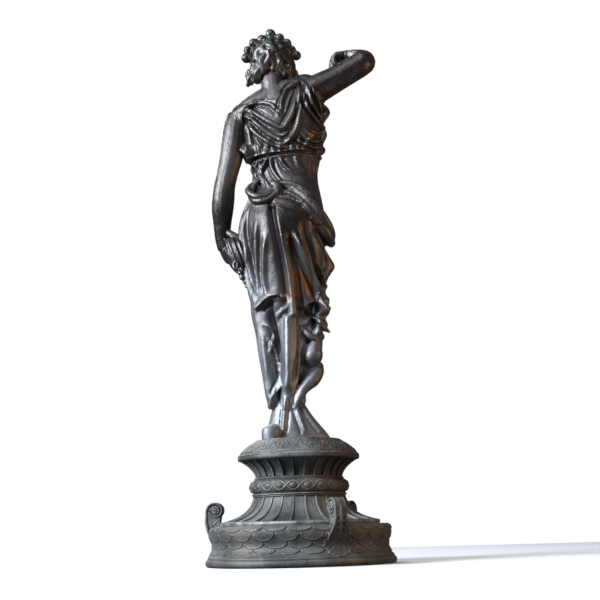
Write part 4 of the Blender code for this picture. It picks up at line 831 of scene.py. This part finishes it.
def spread_leaf(across, height):
    """The leaf on the wall below a bracket: where it covers the wall, and how far it stands out."""
    side = np.abs(across)
    flank = np.interp(height, (0.046, 0.048, 0.052, 0.058, 0.066), (0.031, 0.029, 0.025, 0.020, 0.015))
    toe = soft_step((flank - side) / 0.0015) * soft_step((height - 0.0465) / 0.0008)
    half = np.interp(height, (0.011, 0.015, 0.021, 0.029, 0.038, 0.046, 0.054),
                     (0, 0.007, 0.017, 0.025, 0.027, 0.019, 0.013))
    half = half + 0.0022 * np.cos(height * 2 * math.pi / 0.0105)
    cover = soft_step((half - side) / 0.0012)
    rim = bell((half - side - 0.0012) / 0.0011)
    vein = bell((side - 0.0035 - np.abs(height - 0.052) * 0.28) / 0.0011) + bell(side / 0.0013)
    lobes = 0.5 + 0.5 * np.cos((height * 0.9 + side * 0.8) * 2 * math.pi / 0.0085)
    leaf = cover * (0.0011 + 0.0009 * rim + 0.0006 * vein + 0.0007 * lobes * soft_step((side - 0.006) / 0.003))
    return np.maximum(cover, toe), np.maximum(leaf, toe * (0.0024 - 0.05 * np.maximum(side - 0.012, 0)))


def base_casting():
    wall = smooth_through(((0.1560, 0.0660), (0.1580, 0.0635), (0.1592, 0.0590), (0.1588, 0.0525),
                           (0.1568, 0.0455),
                           (0.1545, 0.0385), (0.1540, 0.0315), (0.1563, 0.0245), (0.1600, 0.0190),
                           (0.1635, 0.0155)), 76)
    ledge = [(PLATE_RADIUS - 0.003, LEDGE), (PLATE_RADIUS + 0.004, LEDGE), (LEDGE_RADIUS - 0.0006, LEDGE),
             (LEDGE_RADIUS + 0.0008, LEDGE - 0.0004), (LEDGE_RADIUS + 0.0012, 0.0664)]
    step = [(0.1638, 0.0150), (0.1642, 0.0140), (0.1640, 0.0124)]
    rim = [(RIM_RADIUS - 0.0035 + 0.0035 * math.sin(math.radians(a)),
            0.0062 + 0.0058 * math.cos(math.radians(a)))
           for a in range(15, 166, 15)]
    profile, spans = joined_runs({"ledge": ledge, "wall": wall, "step": step, "rim": rim,
                                  "foot": [(RIM_RADIUS - 0.006, 0)]})

    def relief(row, turn, r, z):
        raised = np.zeros_like(r)
        covered = np.zeros(r.shape, bool)
        above = SCALES_TOP
        for k, tip in enumerate(SCALE_TIPS):
            across = ((turn * SCALE_COUNT / (2 * math.pi) + 0.5 + 0.5 * (k % 2)) % 1) * 2 - 1
            edge = tip + (above - tip) * (1 - np.sqrt(np.maximum(0, 1 - across**2)))
            up = z - edge
            tile = 0.0017 * np.exp(-np.maximum(up, 0) / 0.010) * soft_step((up - 0.0004) / 0.0005)
            tile += 0.0004 * bell((up - 0.0012) / 0.0008)
            raised = np.where((up > 0) & ~covered, tile, raised)
            covered |= up > 0
            above = tip
        raised -= 0.0006 * bell((np.sin(turn) * r - SEAM_OFFSET) / 0.0007) * (np.cos(turn) > 0)
        for k in range(BRACKET_COUNT):
            bearing = BRACKET_BEARING + k * 2 * math.pi / BRACKET_COUNT
            away = (turn - bearing + math.pi) % (2 * math.pi) - math.pi
            cover, leaf = spread_leaf(away * r, z)
            raised = raised * (1 - cover) + leaf
        return np.where(along_run(row, spans["wall"])[1], raised, 0)

    return turned_skin("base_casting", profile, SCALE_COUNT * 24, relief)


def fluting(turn, share, start, stop):
    """Wide hollow panels between narrow raised fillets, squared off at both ends."""
    across = np.abs(((turn * FLUTE_COUNT / (2 * math.pi) + 0.5) % 1) * 2 - 1)
    hollow = (0.4 + 0.6 * np.sqrt(np.maximum(0,
                                             1 - (across / 0.86) ** 2))) * soft_step((0.84 - across) / 0.05)
    groove = 0.3 * bell((across - 0.80) / 0.05)
    return -(hollow + groove) * soft_step((share - start) / 0.02) * soft_step((stop - share) / 0.02)


def socle_casting():
    chamfer = DISC_TOP - 0.001 - DISC_EDGE
    disc = [(DISC_RADIUS - (DISC_RADIUS - DISC_TOP_RADIUS) * (1 - k / 26) ** 1.25,
             DISC_TOP - 0.001 - chamfer * k / 26) for k in range(27)]
    lip = [(DISC_RADIUS - 0.0012 + 0.0012 * math.sin(math.radians(a)),
            DISC_EDGE - 0.0035 + 0.0035 * math.cos(math.radians(a)))
           for a in range(20, 181, 20)]
    neck = [(NECK_RADIUS + (DISC_RADIUS - 0.005 - NECK_RADIUS) * (1 - k / 40) ** 1.9,
             NECK_TOP - (NECK_TOP - NECK_FOOT) * k / 40)
            for k in range(41)]
    collar = [(0.0790, NECK_FOOT - 0.0004), (0.0798, NECK_FOOT - 0.0014), (0.0790, NECK_FOOT - 0.0026),
              (0.0800, TORUS_TOP + 0.0002)]
    swell = [max(0, math.sin(math.pi * (0.06 + 0.88 * k / 36))) ** 0.55 for k in range(37)]
    torus = [(TORUS_SEAT + (TORUS_RADIUS - TORUS_SEAT) * s,
              TORUS_TOP - (TORUS_TOP - TORUS_FOOT) * k / 36) for k, s in enumerate(swell)]
    mouldings = [(0.0815, TORUS_FOOT - 0.0006), (0.0840, TORUS_FOOT - 0.0016),
                 (0.0846, TORUS_FOOT - 0.0026),
                 (0.0838, TORUS_FOOT - 0.0036), (0.0822, TORUS_FOOT - 0.0042),
                 (0.0826, TORUS_FOOT - 0.0056),
                 (0.0818, TORUS_FOOT - 0.0066)]
    sweep = smooth_through(((0, 0), (0.035, 0.13), (0.085, 0.29), (0.17, 0.45), (0.30, 0.61), (0.47, 0.755),
                            (0.66, 0.86),
                            (0.84, 0.935), (0.95, 0.975)), 56)
    flare = [(FLARE_TOP_RADIUS + (FLARE_RADIUS - FLARE_TOP_RADIUS) * out,
              FLARE_TOP - (FLARE_TOP - FLARE_FOOT) * down)
             for out, down in sweep]
    plate = [(FLARE_RADIUS - 0.001, FLARE_FOOT + 0.0004), (FLARE_RADIUS + 0.001, FLARE_FOOT),
             (PLATE_RADIUS, FLARE_FOOT - 0.0012),
             (PLATE_RADIUS, SOCLE_FOOT + 0.001), (PLATE_RADIUS - 0.0008, SOCLE_FOOT)]
    profile, spans = joined_runs({"top": [(DISC_TOP_RADIUS - 0.006, DISC_TOP),
                                          (DISC_TOP_RADIUS - 0.0012, DISC_TOP)], "disc": disc,
                                  "lip": lip, "neck": neck, "collar": collar, "torus": torus,
                                  "mouldings": mouldings,
                                  "flare": flare, "plate": plate})

    def neck_relief(share, turn):
        return 0.0042 * fluting(turn, share, 0.05, 0.97)

    def flare_relief(share, turn):
        return (0.0020 + 0.0018 * share) * fluting(turn, share, -0.1, 0.955)

    def torus_relief(share, turn):
        """Beads ringed by two waved bands that cross between them."""
        wave = (turn - BEAD_BEARING) * BEAD_COUNT / (2 * math.pi)
        u = (wave + 0.5) % 1 - 0.5
        v = (share - 0.5) * 2.1
        bead = np.sqrt(np.maximum(0, 1 - (u / 0.25) ** 2 - (v / 0.48) ** 2))
        swing = 0.68 * np.cos(math.pi * wave)
        bands = np.maximum(bell((v - swing) / 0.15), bell((v + swing) / 0.15))
        return 0.0021 * bead + 0.0013 * bands * (1 - bead) - 0.0008 * bell((np.abs(v) - 1) / 0.12)

    def disc_relief(share, turn):
        """Pointed leaves with a rib, and a dart between each two."""
        u = np.abs(((turn - math.radians(1.3)) * LEAF_COUNT / (2 * math.pi) + 0.5) % 1 - 0.5) * 2
        v = np.clip((share - 0.22) / 0.46, 0, 1)
        arch = bell((u - 0.86 * v**0.8) / 0.13)
        inner = bell((u - 0.45 * v**0.8) / 0.10) * (v > 0.25)
        dart = bell((1 - u) / 0.10) * soft_step((v - 0.15) / 0.1) * soft_step((0.75 - v) / 0.2)
        band = soft_step((share - 0.20) / 0.03) * soft_step((0.72 - share) / 0.03)
        borders = bell((share - 0.17) / 0.018) + bell((share - 0.76) / 0.02)
        return band * (0.0011 * arch + 0.0007 * inner + 0.0008 * dart) + 0.0006 * borders - 0.0012 * bell((share - 0.84) / 0.03)

    def relief(row, turn, r, z):
        raised = np.zeros_like(r)
        for name, carve in (("neck", neck_relief), ("flare", flare_relief), ("torus", torus_relief),
                            ("disc", disc_relief)):
            share, there = along_run(row, spans[name])
            raised = np.where(there, carve(np.clip(share, 0, 1), turn), raised)
        return raised

    return turned_skin("socle_casting", profile, FLUTE_COUNT * 18, relief)


# Scroll brackets, shaped in millimetres on the +X side
SCROLL_EYE = (150.5, 96.5)
SCROLL_REACH = 14.6
SCROLL_TURNS = 1.9
SCROLL_TRIANGLES = 50000


def scroll_path():
    """The band from its toe on the drum, up, over and round into the volute: radius, height, thickness."""
    path = [(157.4, 44, 0.9), (158.6, 49, 1.3), (161.2, 56, 1.7), (163.8, 64, 2.0), (165.7, 73, 2.2),
            (166.3, 82, 2.2), (166.0, 90, 2.1)]
    for k in range(31):
        share = k / 30
        angle = 2 * math.pi * SCROLL_TURNS * share + 0.05
        reach = SCROLL_REACH * (1 - 0.70 * share**0.85)
        path.append((SCROLL_EYE[0] + (reach + 0.6) * math.cos(angle),
                     SCROLL_EYE[1] + reach * math.sin(angle), 2.0 - 0.9 * share))
    return path


def add_round_plate(bm, reach, half):
    """A disc round the volute's eye, across the bracket."""
    rim = [(SCROLL_EYE[0] + reach * math.cos(math.radians(a)),
            SCROLL_EYE[1] + reach * math.sin(math.radians(a))) for a in range(0, 360, 12)]
    skin_rings(bm, [[Vector((r, y, z)) for r, z in rim] for y in (-half, half)])


def scroll_casting():
    bm = bmesh.new()
    path = scroll_path()
    # The face spreads over the wall at its toe; inside the volute each turn stands further out.
    widths = [22, 20.5, 17, 14, 12, 11.2, 11] + [11 + 2.4 * k / 30 for k in range(31)]
    add_limb(bm, [(r, 0, z, w - 0.6, t) for (r, z, t), w in zip(path, widths)], flat=(0, 1, 0), sides=20,
             rings=130)
    for side in (-1, 1):
        add_limb(bm, [(r, side * (w - 1.9), z, t + 0.25) for (r, z, t), w in zip(path, widths)], sides=10,
                 rings=130)
    # Web between the band and the drum, and the discs inside the volute
    web = [(142.2, 68.6), (142.2, 78), (141, 86), (139, 94), (150, 100), (163, 95), (165, 84), (165, 74),
           (163.2, 64),
           (160.6, 56), (158.8, 52), (158.6, 66.5), (155.4, 68.6)]
    skin_rings(bm, [[Vector((r, y, z)) for r, z in web] for y in (-9.6, 9.6)])
    add_round_plate(bm, 13, 7)
    add_round_plate(bm, 6.4, 11.4)
    add_round_plate(bm, 3.6, 14)
    casting = fused(bm, "scroll", 0.5, 2)
    clay = Clay(casting)
    for side in ("back", "front"):
        clay.stroke(side, ((150.1, 96.5), (150.4, 96.6), (150.7, 96.5), (150.9, 96.4)), 1.1, -1.6, "ridge",
                    (0.02, 0.02))
        # Groove round the boss, and the leaf on the cheek under the volute
        groove = [(SCROLL_EYE[0] + 8.6 * math.cos(math.radians(a)),
                   SCROLL_EYE[1] + 8.6 * math.sin(math.radians(a))) for a in range(-70, 131, 25)]
        clay.stroke(side, groove, 1.5, -1.4, "ridge", (0.25, 0.25))
        clay.stroke(side, ((158, 74), (156, 66), (159, 56), (161.5, 48)), 1.3, 1.2, "ridge", (0.1, 0.3))
        for k in range(4):
            h = 78 - 7 * k
            clay.stroke(side, ((148 + 3 * k, h), (152 + 2.4 * k, h - 4), (157 + 1.2 * k, h - 7)), 1.5, 1.0,
                        "ridge", (0.2, 0.2))
    # Leaf on the outer face: a rib, two grooves and paired lobes
    clay.stroke("right", ((0, 100), (0, 84), (0, 62), (0, 42)), 2.0, 1.3, "ridge", (0.2, 0.1))
    for side in (-1, 1):
        clay.stroke("right", ((side * 5, 98), (side * 5.5, 80), (side * 6, 60), (side * 7, 44)), 1.4, -0.9,
                    "ridge", (0.2, 0.2))
        for k in range(4):
            h = 80 - 10 * k
            clay.stroke("right", ((side * 1.5, h - 3), (side * 5, h + 2), (side * 9, h - 2),
                                  (side * 11, h - 10)), 2.6, 0.8, "ridge", (0.3, 0.4))
    clay.settle()
    casting.data.transform(Matrix.Scale(0.001, 4))
    thinned(casting, SCROLL_TRIANGLES)
    return casting


def bracket_castings():
    pattern = scroll_casting()
    pieces = []
    for k in range(BRACKET_COUNT):
        mesh = pattern.data.copy()
        mesh.transform(Matrix.Rotation(BRACKET_BEARING - math.pi / 2 + 2 * math.pi * k / BRACKET_COUNT, 4,
                                       "Z"))
        piece = bpy.data.objects.new("scroll_casting_%d" % (k + 1), mesh)
        bpy.context.scene.collection.objects.link(piece)
        pieces.append(piece)
    bpy.data.objects.remove(pattern)
    return pieces


# Effects shared by both finishes
def effect(name, inputs, outputs):
    """A new node group with its sockets: inputs as name, starting value; outputs as names."""
    group = bpy.data.node_groups.new(name, "ShaderNodeTree")
    for label, value in inputs:
        socket = group.interface.new_socket(label, in_out="INPUT", socket_type="NodeSocketFloat")
        socket.default_value = value
    for label in outputs:
        group.interface.new_socket(label, in_out="OUTPUT", socket_type="NodeSocketFloat")
    return group, group.nodes.new("NodeGroupInput"), group.nodes.new("NodeGroupOutput")


def math_node(tree, operation, *values, clamp=False):
    """A Math node fed with numbers or sockets."""
    node = tree.nodes.new("ShaderNodeMath")
    node.operation = operation
    node.use_clamp = clamp
    for socket, value in zip(node.inputs, values):
        if isinstance(value, (int, float)):
            socket.default_value = value
        else:
            tree.links.new(value, socket)
    return node.outputs[0]


def noise_node(tree, scale, detail, roughness, stretch=(1, 1, 1)):
    """Noise fixed to the piece; scale may be a number or a socket."""
    place = tree.nodes.new("ShaderNodeTexCoord")
    vector = place.outputs["Object"]
    if stretch != (1, 1, 1):
        mapping = tree.nodes.new("ShaderNodeMapping")
        mapping.inputs["Scale"].default_value = stretch
        tree.links.new(vector, mapping.inputs["Vector"])
        vector = mapping.outputs["Vector"]
    noise = tree.nodes.new("ShaderNodeTexNoise")
    noise.inputs["Detail"].default_value = detail
    noise.inputs["Roughness"].default_value = roughness
    tree.links.new(vector, noise.inputs["Vector"])
    if isinstance(scale, (int, float)):
        noise.inputs["Scale"].default_value = scale
    else:
        tree.links.new(scale, noise.inputs["Scale"])
    return noise.outputs["Fac"]


def range_node(tree, value, low, high):
    """0 at low, 1 at high; both may be numbers or sockets."""
    node = tree.nodes.new("ShaderNodeMapRange")
    node.interpolation_type = "SMOOTHSTEP"
    tree.links.new(value, node.inputs["Value"])
    for label, end in (("From Min", low), ("From Max", high)):
        if isinstance(end, (int, float)):
            node.inputs[label].default_value = end
        else:
            tree.links.new(end, node.inputs[label])
    return node.outputs["Result"]


def rubbed_and_lit_edges():
    """Raised edges, partly rubbed bright by hands and cloths and partly a painted highlight on the ridges, broken up
    unevenly.
    """
    tree, given, out = effect("rubbed_and_lit_edges", (("Start", 0.53), ("Full", 0.6), ("Break-up scale", 40)),
                              ("Mask",))
    sharp = tree.nodes.new("ShaderNodeNewGeometry").outputs["Pointiness"]
    edge = range_node(tree, sharp, given.outputs["Start"], given.outputs["Full"])
    broken = range_node(tree, noise_node(tree, given.outputs["Break-up scale"], 5, 0.6), 0.35, 0.62)
    tree.links.new(math_node(tree, "MULTIPLY", edge, broken, clamp=True), out.inputs["Mask"])
    return tree


def patina_clouds():
    """Large and small clouds of patina, and fine specks."""
    tree, given, out = effect("patina_clouds", (("Cloud scale", 9), ("Speck scale", 160)),
                              ("Clouds", "Specks"))
    broad = noise_node(tree, given.outputs["Cloud scale"], 7, 0.62, (1, 1, 0.55))
    tree.links.new(range_node(tree, broad, 0.36, 0.66), out.inputs["Clouds"])
    fine = noise_node(tree, given.outputs["Speck scale"], 3, 0.7)
    tree.links.new(range_node(tree, fine, 0.52, 0.72), out.inputs["Specks"])
    return tree


def shaded_hollows():
    """Painted shade in hollows; faces turned upwards join the mask by the Upward share; broken into clouds."""
    tree, given, out = effect("shaded_hollows", (("Hollow start", 0.5), ("Hollow full", 0.42),
                                               ("Upward share", 0.5), ("Cloud scale", 22)), ("Mask",))
    geometry = tree.nodes.new("ShaderNodeNewGeometry")
    hollow = range_node(tree, geometry.outputs["Pointiness"], given.outputs["Hollow start"],
                        given.outputs["Hollow full"])
    split = tree.nodes.new("ShaderNodeSeparateXYZ")
    tree.links.new(geometry.outputs["Normal"], split.inputs[0])
    upward = math_node(tree, "MULTIPLY", range_node(tree, split.outputs["Z"], 0.1, 0.9),
                       given.outputs["Upward share"])
    lying = math_node(tree, "MAXIMUM", hollow, upward)
    cloud = range_node(tree, noise_node(tree, given.outputs["Cloud scale"], 6, 0.65), 0.3, 0.68)
    tree.links.new(math_node(tree, "MULTIPLY", lying, cloud, clamp=True), out.inputs["Mask"])
    return tree


def cast_grain():
    """The fine unevenness of cast and chased metal, as a height."""
    tree, given, out = effect("cast_grain", (("Grain scale", 700), ("Ripple scale", 110),
                                             ("Ripple share", 0.6)), ("Height",))
    grain = noise_node(tree, given.outputs["Grain scale"], 3, 0.6)
    ripple = noise_node(tree, given.outputs["Ripple scale"], 3, 0.5, (1, 1, 0.7))
    weighted = math_node(tree, "MULTIPLY", ripple, given.outputs["Ripple share"])
    tree.links.new(math_node(tree, "MULTIPLY_ADD", grain, 0.3, weighted), out.inputs["Height"])
    return tree


EDGES, CLOUDS, HOLLOW_SHADE, GRAIN = rubbed_and_lit_edges(), patina_clouds(), shaded_hollows(), cast_grain()


def placed(tree, group, **values):
    """The shared effect set in a material with that material's own values."""
    node = tree.nodes.new("ShaderNodeGroup")
    node.node_tree = group
    for label, value in values.items():
        node.inputs[label.replace("_", " ").replace("Break up", "Break-up")].default_value = value
    return node.outputs


def mix_colours(tree, share, under, over):
    """under where share is 0 and over where it is 1; each a colour or a socket."""
    node = tree.nodes.new("ShaderNodeMix")
    node.data_type = "RGBA"
    tree.links.new(share, node.inputs["Factor"])
    for socket, colour in zip((node.inputs[6], node.inputs[7]), (under, over)):
        if isinstance(colour, tuple):
            socket.default_value = (*colour, 1)
        else:
            tree.links.new(colour, socket)
    return node.outputs[2]


def height_band(tree, low, full):
    """0 at a height in the scene, 1 at another."""
    place = tree.nodes.new("ShaderNodeTexCoord")
    split = tree.nodes.new("ShaderNodeSeparateXYZ")
    tree.links.new(place.outputs["Object"], split.inputs[0])
    return range_node(tree, split.outputs["Z"], low, full)


def new_bronze(name, metallic):
    material = bpy.data.materials.new(name)
    material.use_nodes = True
    tree = material.node_tree
    shader = tree.nodes["Principled BSDF"]
    shader.inputs["Metallic"].default_value = metallic
    return material, tree, shader


def bump_into(tree, shader, height, strength, distance):
    bump = tree.nodes.new("ShaderNodeBump")
    bump.inputs["Strength"].default_value = strength
    bump.inputs["Distance"].default_value = distance
    tree.links.new(height, bump.inputs["Height"])
    tree.links.new(bump.outputs["Normal"], shader.inputs["Normal"])


def patch_mask(tree, places):
    """1 at the middle of each rounded place, given as centre and reach, falling to 0 at its reach."""
    spot = tree.nodes.new("ShaderNodeTexCoord").outputs["Object"]
    mask = None
    for centre, reach in places:
        away = tree.nodes.new("ShaderNodeVectorMath")
        away.operation = "DISTANCE"
        away.inputs[1].default_value = centre
        tree.links.new(spot, away.inputs[0])
        near = math_node(tree, "SUBTRACT", 1, range_node(tree, away.outputs["Value"], 0.25 * reach, reach))
        mask = near if mask is None else math_node(tree, "MAXIMUM", mask, near)
    return mask


# Where worn copper with a painted warm glint shows on the figure: right thigh, sash end, waist and raised elbow
COPPER_AND_GLINT_PLACES = (((0.012, -0.04, 0.490), 0.046), ((0.002, -0.04, 0.44), 0.028),
                 ((0.034, -0.045, 0.600), 0.014), ((0.048, -0.02, 0.780), 0.018),
                 ((0.042, -0.02, 0.715), 0.026), ((0.128, 0.0, 0.925), 0.026))
# Brown places on the plinth, low on its left side and on the beaded ring
BROWN_PLACES = (((-0.095, -0.125, 0.040), 0.060), ((-0.035, -0.080, 0.128), 0.035),
                ((-0.060, -0.150, 0.055), 0.040))


def figure_bronze():
    """Dark bronze: bright ridges, partly rubbed and partly painted highlight; black hollows of painted shade; greyer
    low on the skirt, partly painted highlight; copper with a painted warm glint in places; a little green above.
    """
    material, tree, shader = new_bronze("figure_bronze", 0.80)
    clouds = placed(tree, CLOUDS, Cloud_scale=8, Speck_scale=190)
    edges = placed(tree, EDGES, Start=0.51, Full=0.62, Break_up_scale=30)
    hollow_shade = placed(tree, HOLLOW_SHADE, Hollow_start=0.49, Hollow_full=0.38, Upward_share=0.0, Cloud_scale=14)
    colour = mix_colours(tree, clouds["Clouds"], (0.045, 0.038, 0.035), (0.150, 0.136, 0.129))
    # Lighter, greyer metal low on the skirt: partly the metal's own tone, partly painted highlight where the light
    # falls brightest.
    low = math_node(tree, "SUBTRACT", 1, height_band(tree, 0.32, 0.62))
    silver_and_sheen = math_node(tree, "MULTIPLY", low, range_node(tree, noise_node(tree, 12, 6, 0.6), 0.25, 0.6))
    colour = mix_colours(tree, silver_and_sheen, colour, (0.26, 0.262, 0.275))
    # Copper patches where warm glints fall: partly worn copper, partly a painted warm glint.
    copper_and_glint = math_node(tree, "MULTIPLY", patch_mask(tree, COPPER_AND_GLINT_PLACES),
                       range_node(tree, noise_node(tree, 38, 6, 0.6), 0.40, 0.62))
    colour = mix_colours(tree, copper_and_glint, colour, (0.27, 0.128, 0.062))
    green = range_node(tree, noise_node(tree, 16, 7, 0.66), 0.56, 0.70)
    green = math_node(tree, "MULTIPLY", green, height_band(tree, 0.66, 0.84))
    green = math_node(tree, "MAXIMUM", green, patch_mask(tree, (((-0.045, -0.05, 0.53), 0.007),)))
    colour = mix_colours(tree, math_node(tree, "MULTIPLY", green, 0.6), colour, (0.085, 0.135, 0.115))
    # Bright raised edges: partly rubbed metal, partly a painted highlight on the ridges.
    colour = mix_colours(tree, math_node(tree, "MULTIPLY", edges["Mask"], 0.6), colour, (0.36, 0.355, 0.35))
    # Near-black hollows: painted shade.
    colour = mix_colours(tree, math_node(tree, "MULTIPLY", hollow_shade["Mask"], 0.9), colour,
                         (0.028, 0.024, 0.024))
    tree.links.new(colour, shader.inputs["Base Color"])
    rough = math_node(tree, "MULTIPLY_ADD", clouds["Clouds"], 0.20, 0.25)
    rough = math_node(tree, "MULTIPLY_ADD", clouds["Specks"], 0.12, rough)
    rough = math_node(tree, "MULTIPLY_ADD", hollow_shade["Mask"], 0.20, rough)
    rough = math_node(tree, "MULTIPLY_ADD", low, 0.17, rough)
    tree.links.new(rough, shader.inputs["Roughness"])
    bump_into(tree, shader, placed(tree, GRAIN, Grain_scale=650, Ripple_scale=95,
                                   Ripple_share=0.8)["Height"], 0.8, 0.0020)
    return material


def plinth_bronze():
    """The same metal, drier and greyer, chalky on its ledges, dark in its grooves with painted shade, bright edges
    partly painted highlight, brown in places.
    """
    material, tree, shader = new_bronze("plinth_bronze", 0.45)
    clouds = placed(tree, CLOUDS, Cloud_scale=14, Speck_scale=240)
    edges = placed(tree, EDGES, Start=0.51, Full=0.57, Break_up_scale=45)
    hollow_shade = placed(tree, HOLLOW_SHADE, Hollow_start=0.495, Hollow_full=0.44, Upward_share=0.0, Cloud_scale=12)
    colour = mix_colours(tree, clouds["Clouds"], (0.060, 0.060, 0.056), (0.170, 0.166, 0.153))
    brown = math_node(tree, "MULTIPLY", patch_mask(tree, BROWN_PLACES),
                      range_node(tree, noise_node(tree, 24, 5, 0.6), 0.32, 0.6))
    colour = mix_colours(tree, math_node(tree, "MULTIPLY", brown, 0.6), colour, (0.150, 0.122, 0.100))
    # Bright edges and fillets: partly rubbed metal, partly a painted highlight.
    colour = mix_colours(tree, math_node(tree, "MULTIPLY", edges["Mask"], 0.75), colour, (0.48, 0.47, 0.43))
    chalk = math_node(tree, "MULTIPLY", clouds["Specks"], height_band(tree, 0.185, 0.195))
    colour = mix_colours(tree, math_node(tree, "MULTIPLY", chalk, 0.45), colour, (0.50, 0.50, 0.48))
    # Near-black grooves: painted shade.
    colour = mix_colours(tree, math_node(tree, "MULTIPLY", hollow_shade["Mask"], 0.92), colour,
                         (0.022, 0.021, 0.021))
    tree.links.new(colour, shader.inputs["Base Color"])
    rough = math_node(tree, "MULTIPLY_ADD", clouds["Clouds"], 0.12, 0.50)
    rough = math_node(tree, "MULTIPLY_ADD", hollow_shade["Mask"], 0.2, rough)
    tree.links.new(rough, shader.inputs["Roughness"])
    bump_into(tree, shader, placed(tree, GRAIN, Grain_scale=800, Ripple_scale=160,
                                   Ripple_share=0.6)["Height"], 0.8, 0.0020)
    return material


# Brightness of the white room as the camera sees it and as it lights the bronze
ROOM_SEEN = 1.0
ROOM_LIGHT = 0.10
LIGHTS_AIM = Vector((0, 0, 0.5))
FLOOR_WIDTH = 3
FLOOR_DROP = 0.0005

# Camera, fitted to the statue's outline in a frame 600 pixels wide
FRAME_PIXELS = 600
FOCAL_PIXELS = 1143
CAMERA_AT = Vector((0.0103, -2.056, 0.06))
CAMERA_PITCH = math.radians(11.36)
CAMERA_ROLL = math.radians(1.55)


def aim_camera():
    camera = bpy.data.cameras.new("photograph_view")
    camera.sensor_width = 36
    camera.lens = FOCAL_PIXELS / FRAME_PIXELS * camera.sensor_width
    viewer = bpy.data.objects.new("photograph_view", camera)
    bpy.context.scene.collection.objects.link(viewer)
    forward = Vector((0, math.cos(CAMERA_PITCH), math.sin(CAMERA_PITCH)))
    right = Vector((1, 0, 0))
    up = right.cross(forward)
    tilted_right = right * math.cos(CAMERA_ROLL) - up * math.sin(CAMERA_ROLL)
    tilted_up = up * math.cos(CAMERA_ROLL) + right * math.sin(CAMERA_ROLL)
    place = Matrix((tilted_right, tilted_up, -forward)).transposed().to_4x4()
    place.translation = CAMERA_AT
    viewer.matrix_world = place
    bpy.context.scene.camera = viewer


def soft_light(name, place, size, power, colour):
    lamp = bpy.data.lights.new(name, "AREA")
    lamp.energy = power
    lamp.size = size
    lamp.color = colour
    holder = bpy.data.objects.new(name, lamp)
    bpy.context.scene.collection.objects.link(holder)
    holder.location = place
    holder.rotation_mode = "QUATERNION"
    holder.rotation_quaternion = (LIGHTS_AIM - Vector(place)).to_track_quat("-Z", "Y")


def light_studio():
    soft_light("window_left", (-2.4, -1.4, 1.4), 1.2, 190, (0.80, 0.89, 1))
    soft_light("sky_above", (-0.5, -1.4, 2.8), 1.4, 30, (0.82, 0.90, 1))
    soft_light("warm_right", (1.4, -0.5, 0.45), 0.35, 5, (1, 0.58, 0.32))
    soft_light("behind", (-0.9, 1.7, 1.8), 1.3, 30, (0.9, 0.95, 1))
    # The room is white to the camera and dimmer as a light.
    world = bpy.data.worlds.new("white_room")
    world.use_nodes = True
    tree = world.node_tree
    background = tree.nodes["Background"]
    background.inputs["Color"].default_value = (1, 1, 1, 1)
    seen = tree.nodes.new("ShaderNodeLightPath").outputs["Is Camera Ray"]
    tree.links.new(math_node(tree, "MULTIPLY_ADD", seen, ROOM_SEEN - ROOM_LIGHT, ROOM_LIGHT),
                   background.inputs["Strength"])
    bpy.context.scene.world = world
    bpy.context.scene.view_settings.view_transform = "Standard"


def lay_floor():
    bpy.ops.mesh.primitive_plane_add(size=FLOOR_WIDTH, location=(0, 0, UNDERSIDE - FLOOR_DROP))
    floor = bpy.context.object
    floor.name = "studio_floor"
    paint = bpy.data.materials.new("pale_floor")
    paint.use_nodes = True
    shader = paint.node_tree.nodes["Principled BSDF"]
    shader.inputs["Base Color"].default_value = (0.93, 0.93, 0.93, 1)
    shader.inputs["Roughness"].default_value = 0.9
    floor.data.materials.append(paint)
    # The floor carries the shadow and throws no light back on the dark bronze.
    floor.visible_diffuse = False
    floor.visible_glossy = False


def set_in_place(piece, node, material):
    piece.data.materials.append(material)
    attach(piece, "root")
    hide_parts(node)


set_in_place(figure_casting(), "figure", figure_bronze())
plinth_metal = plinth_bronze()
set_in_place(socle_casting(), "fluted_socle", plinth_metal)
set_in_place(base_casting(), "base_drum", plinth_metal)
for number, bracket in enumerate(bracket_castings(), 1):
    set_in_place(bracket, "scroll_bracket_%d" % number, plinth_metal)
aim_camera()
light_studio()
lay_floor()
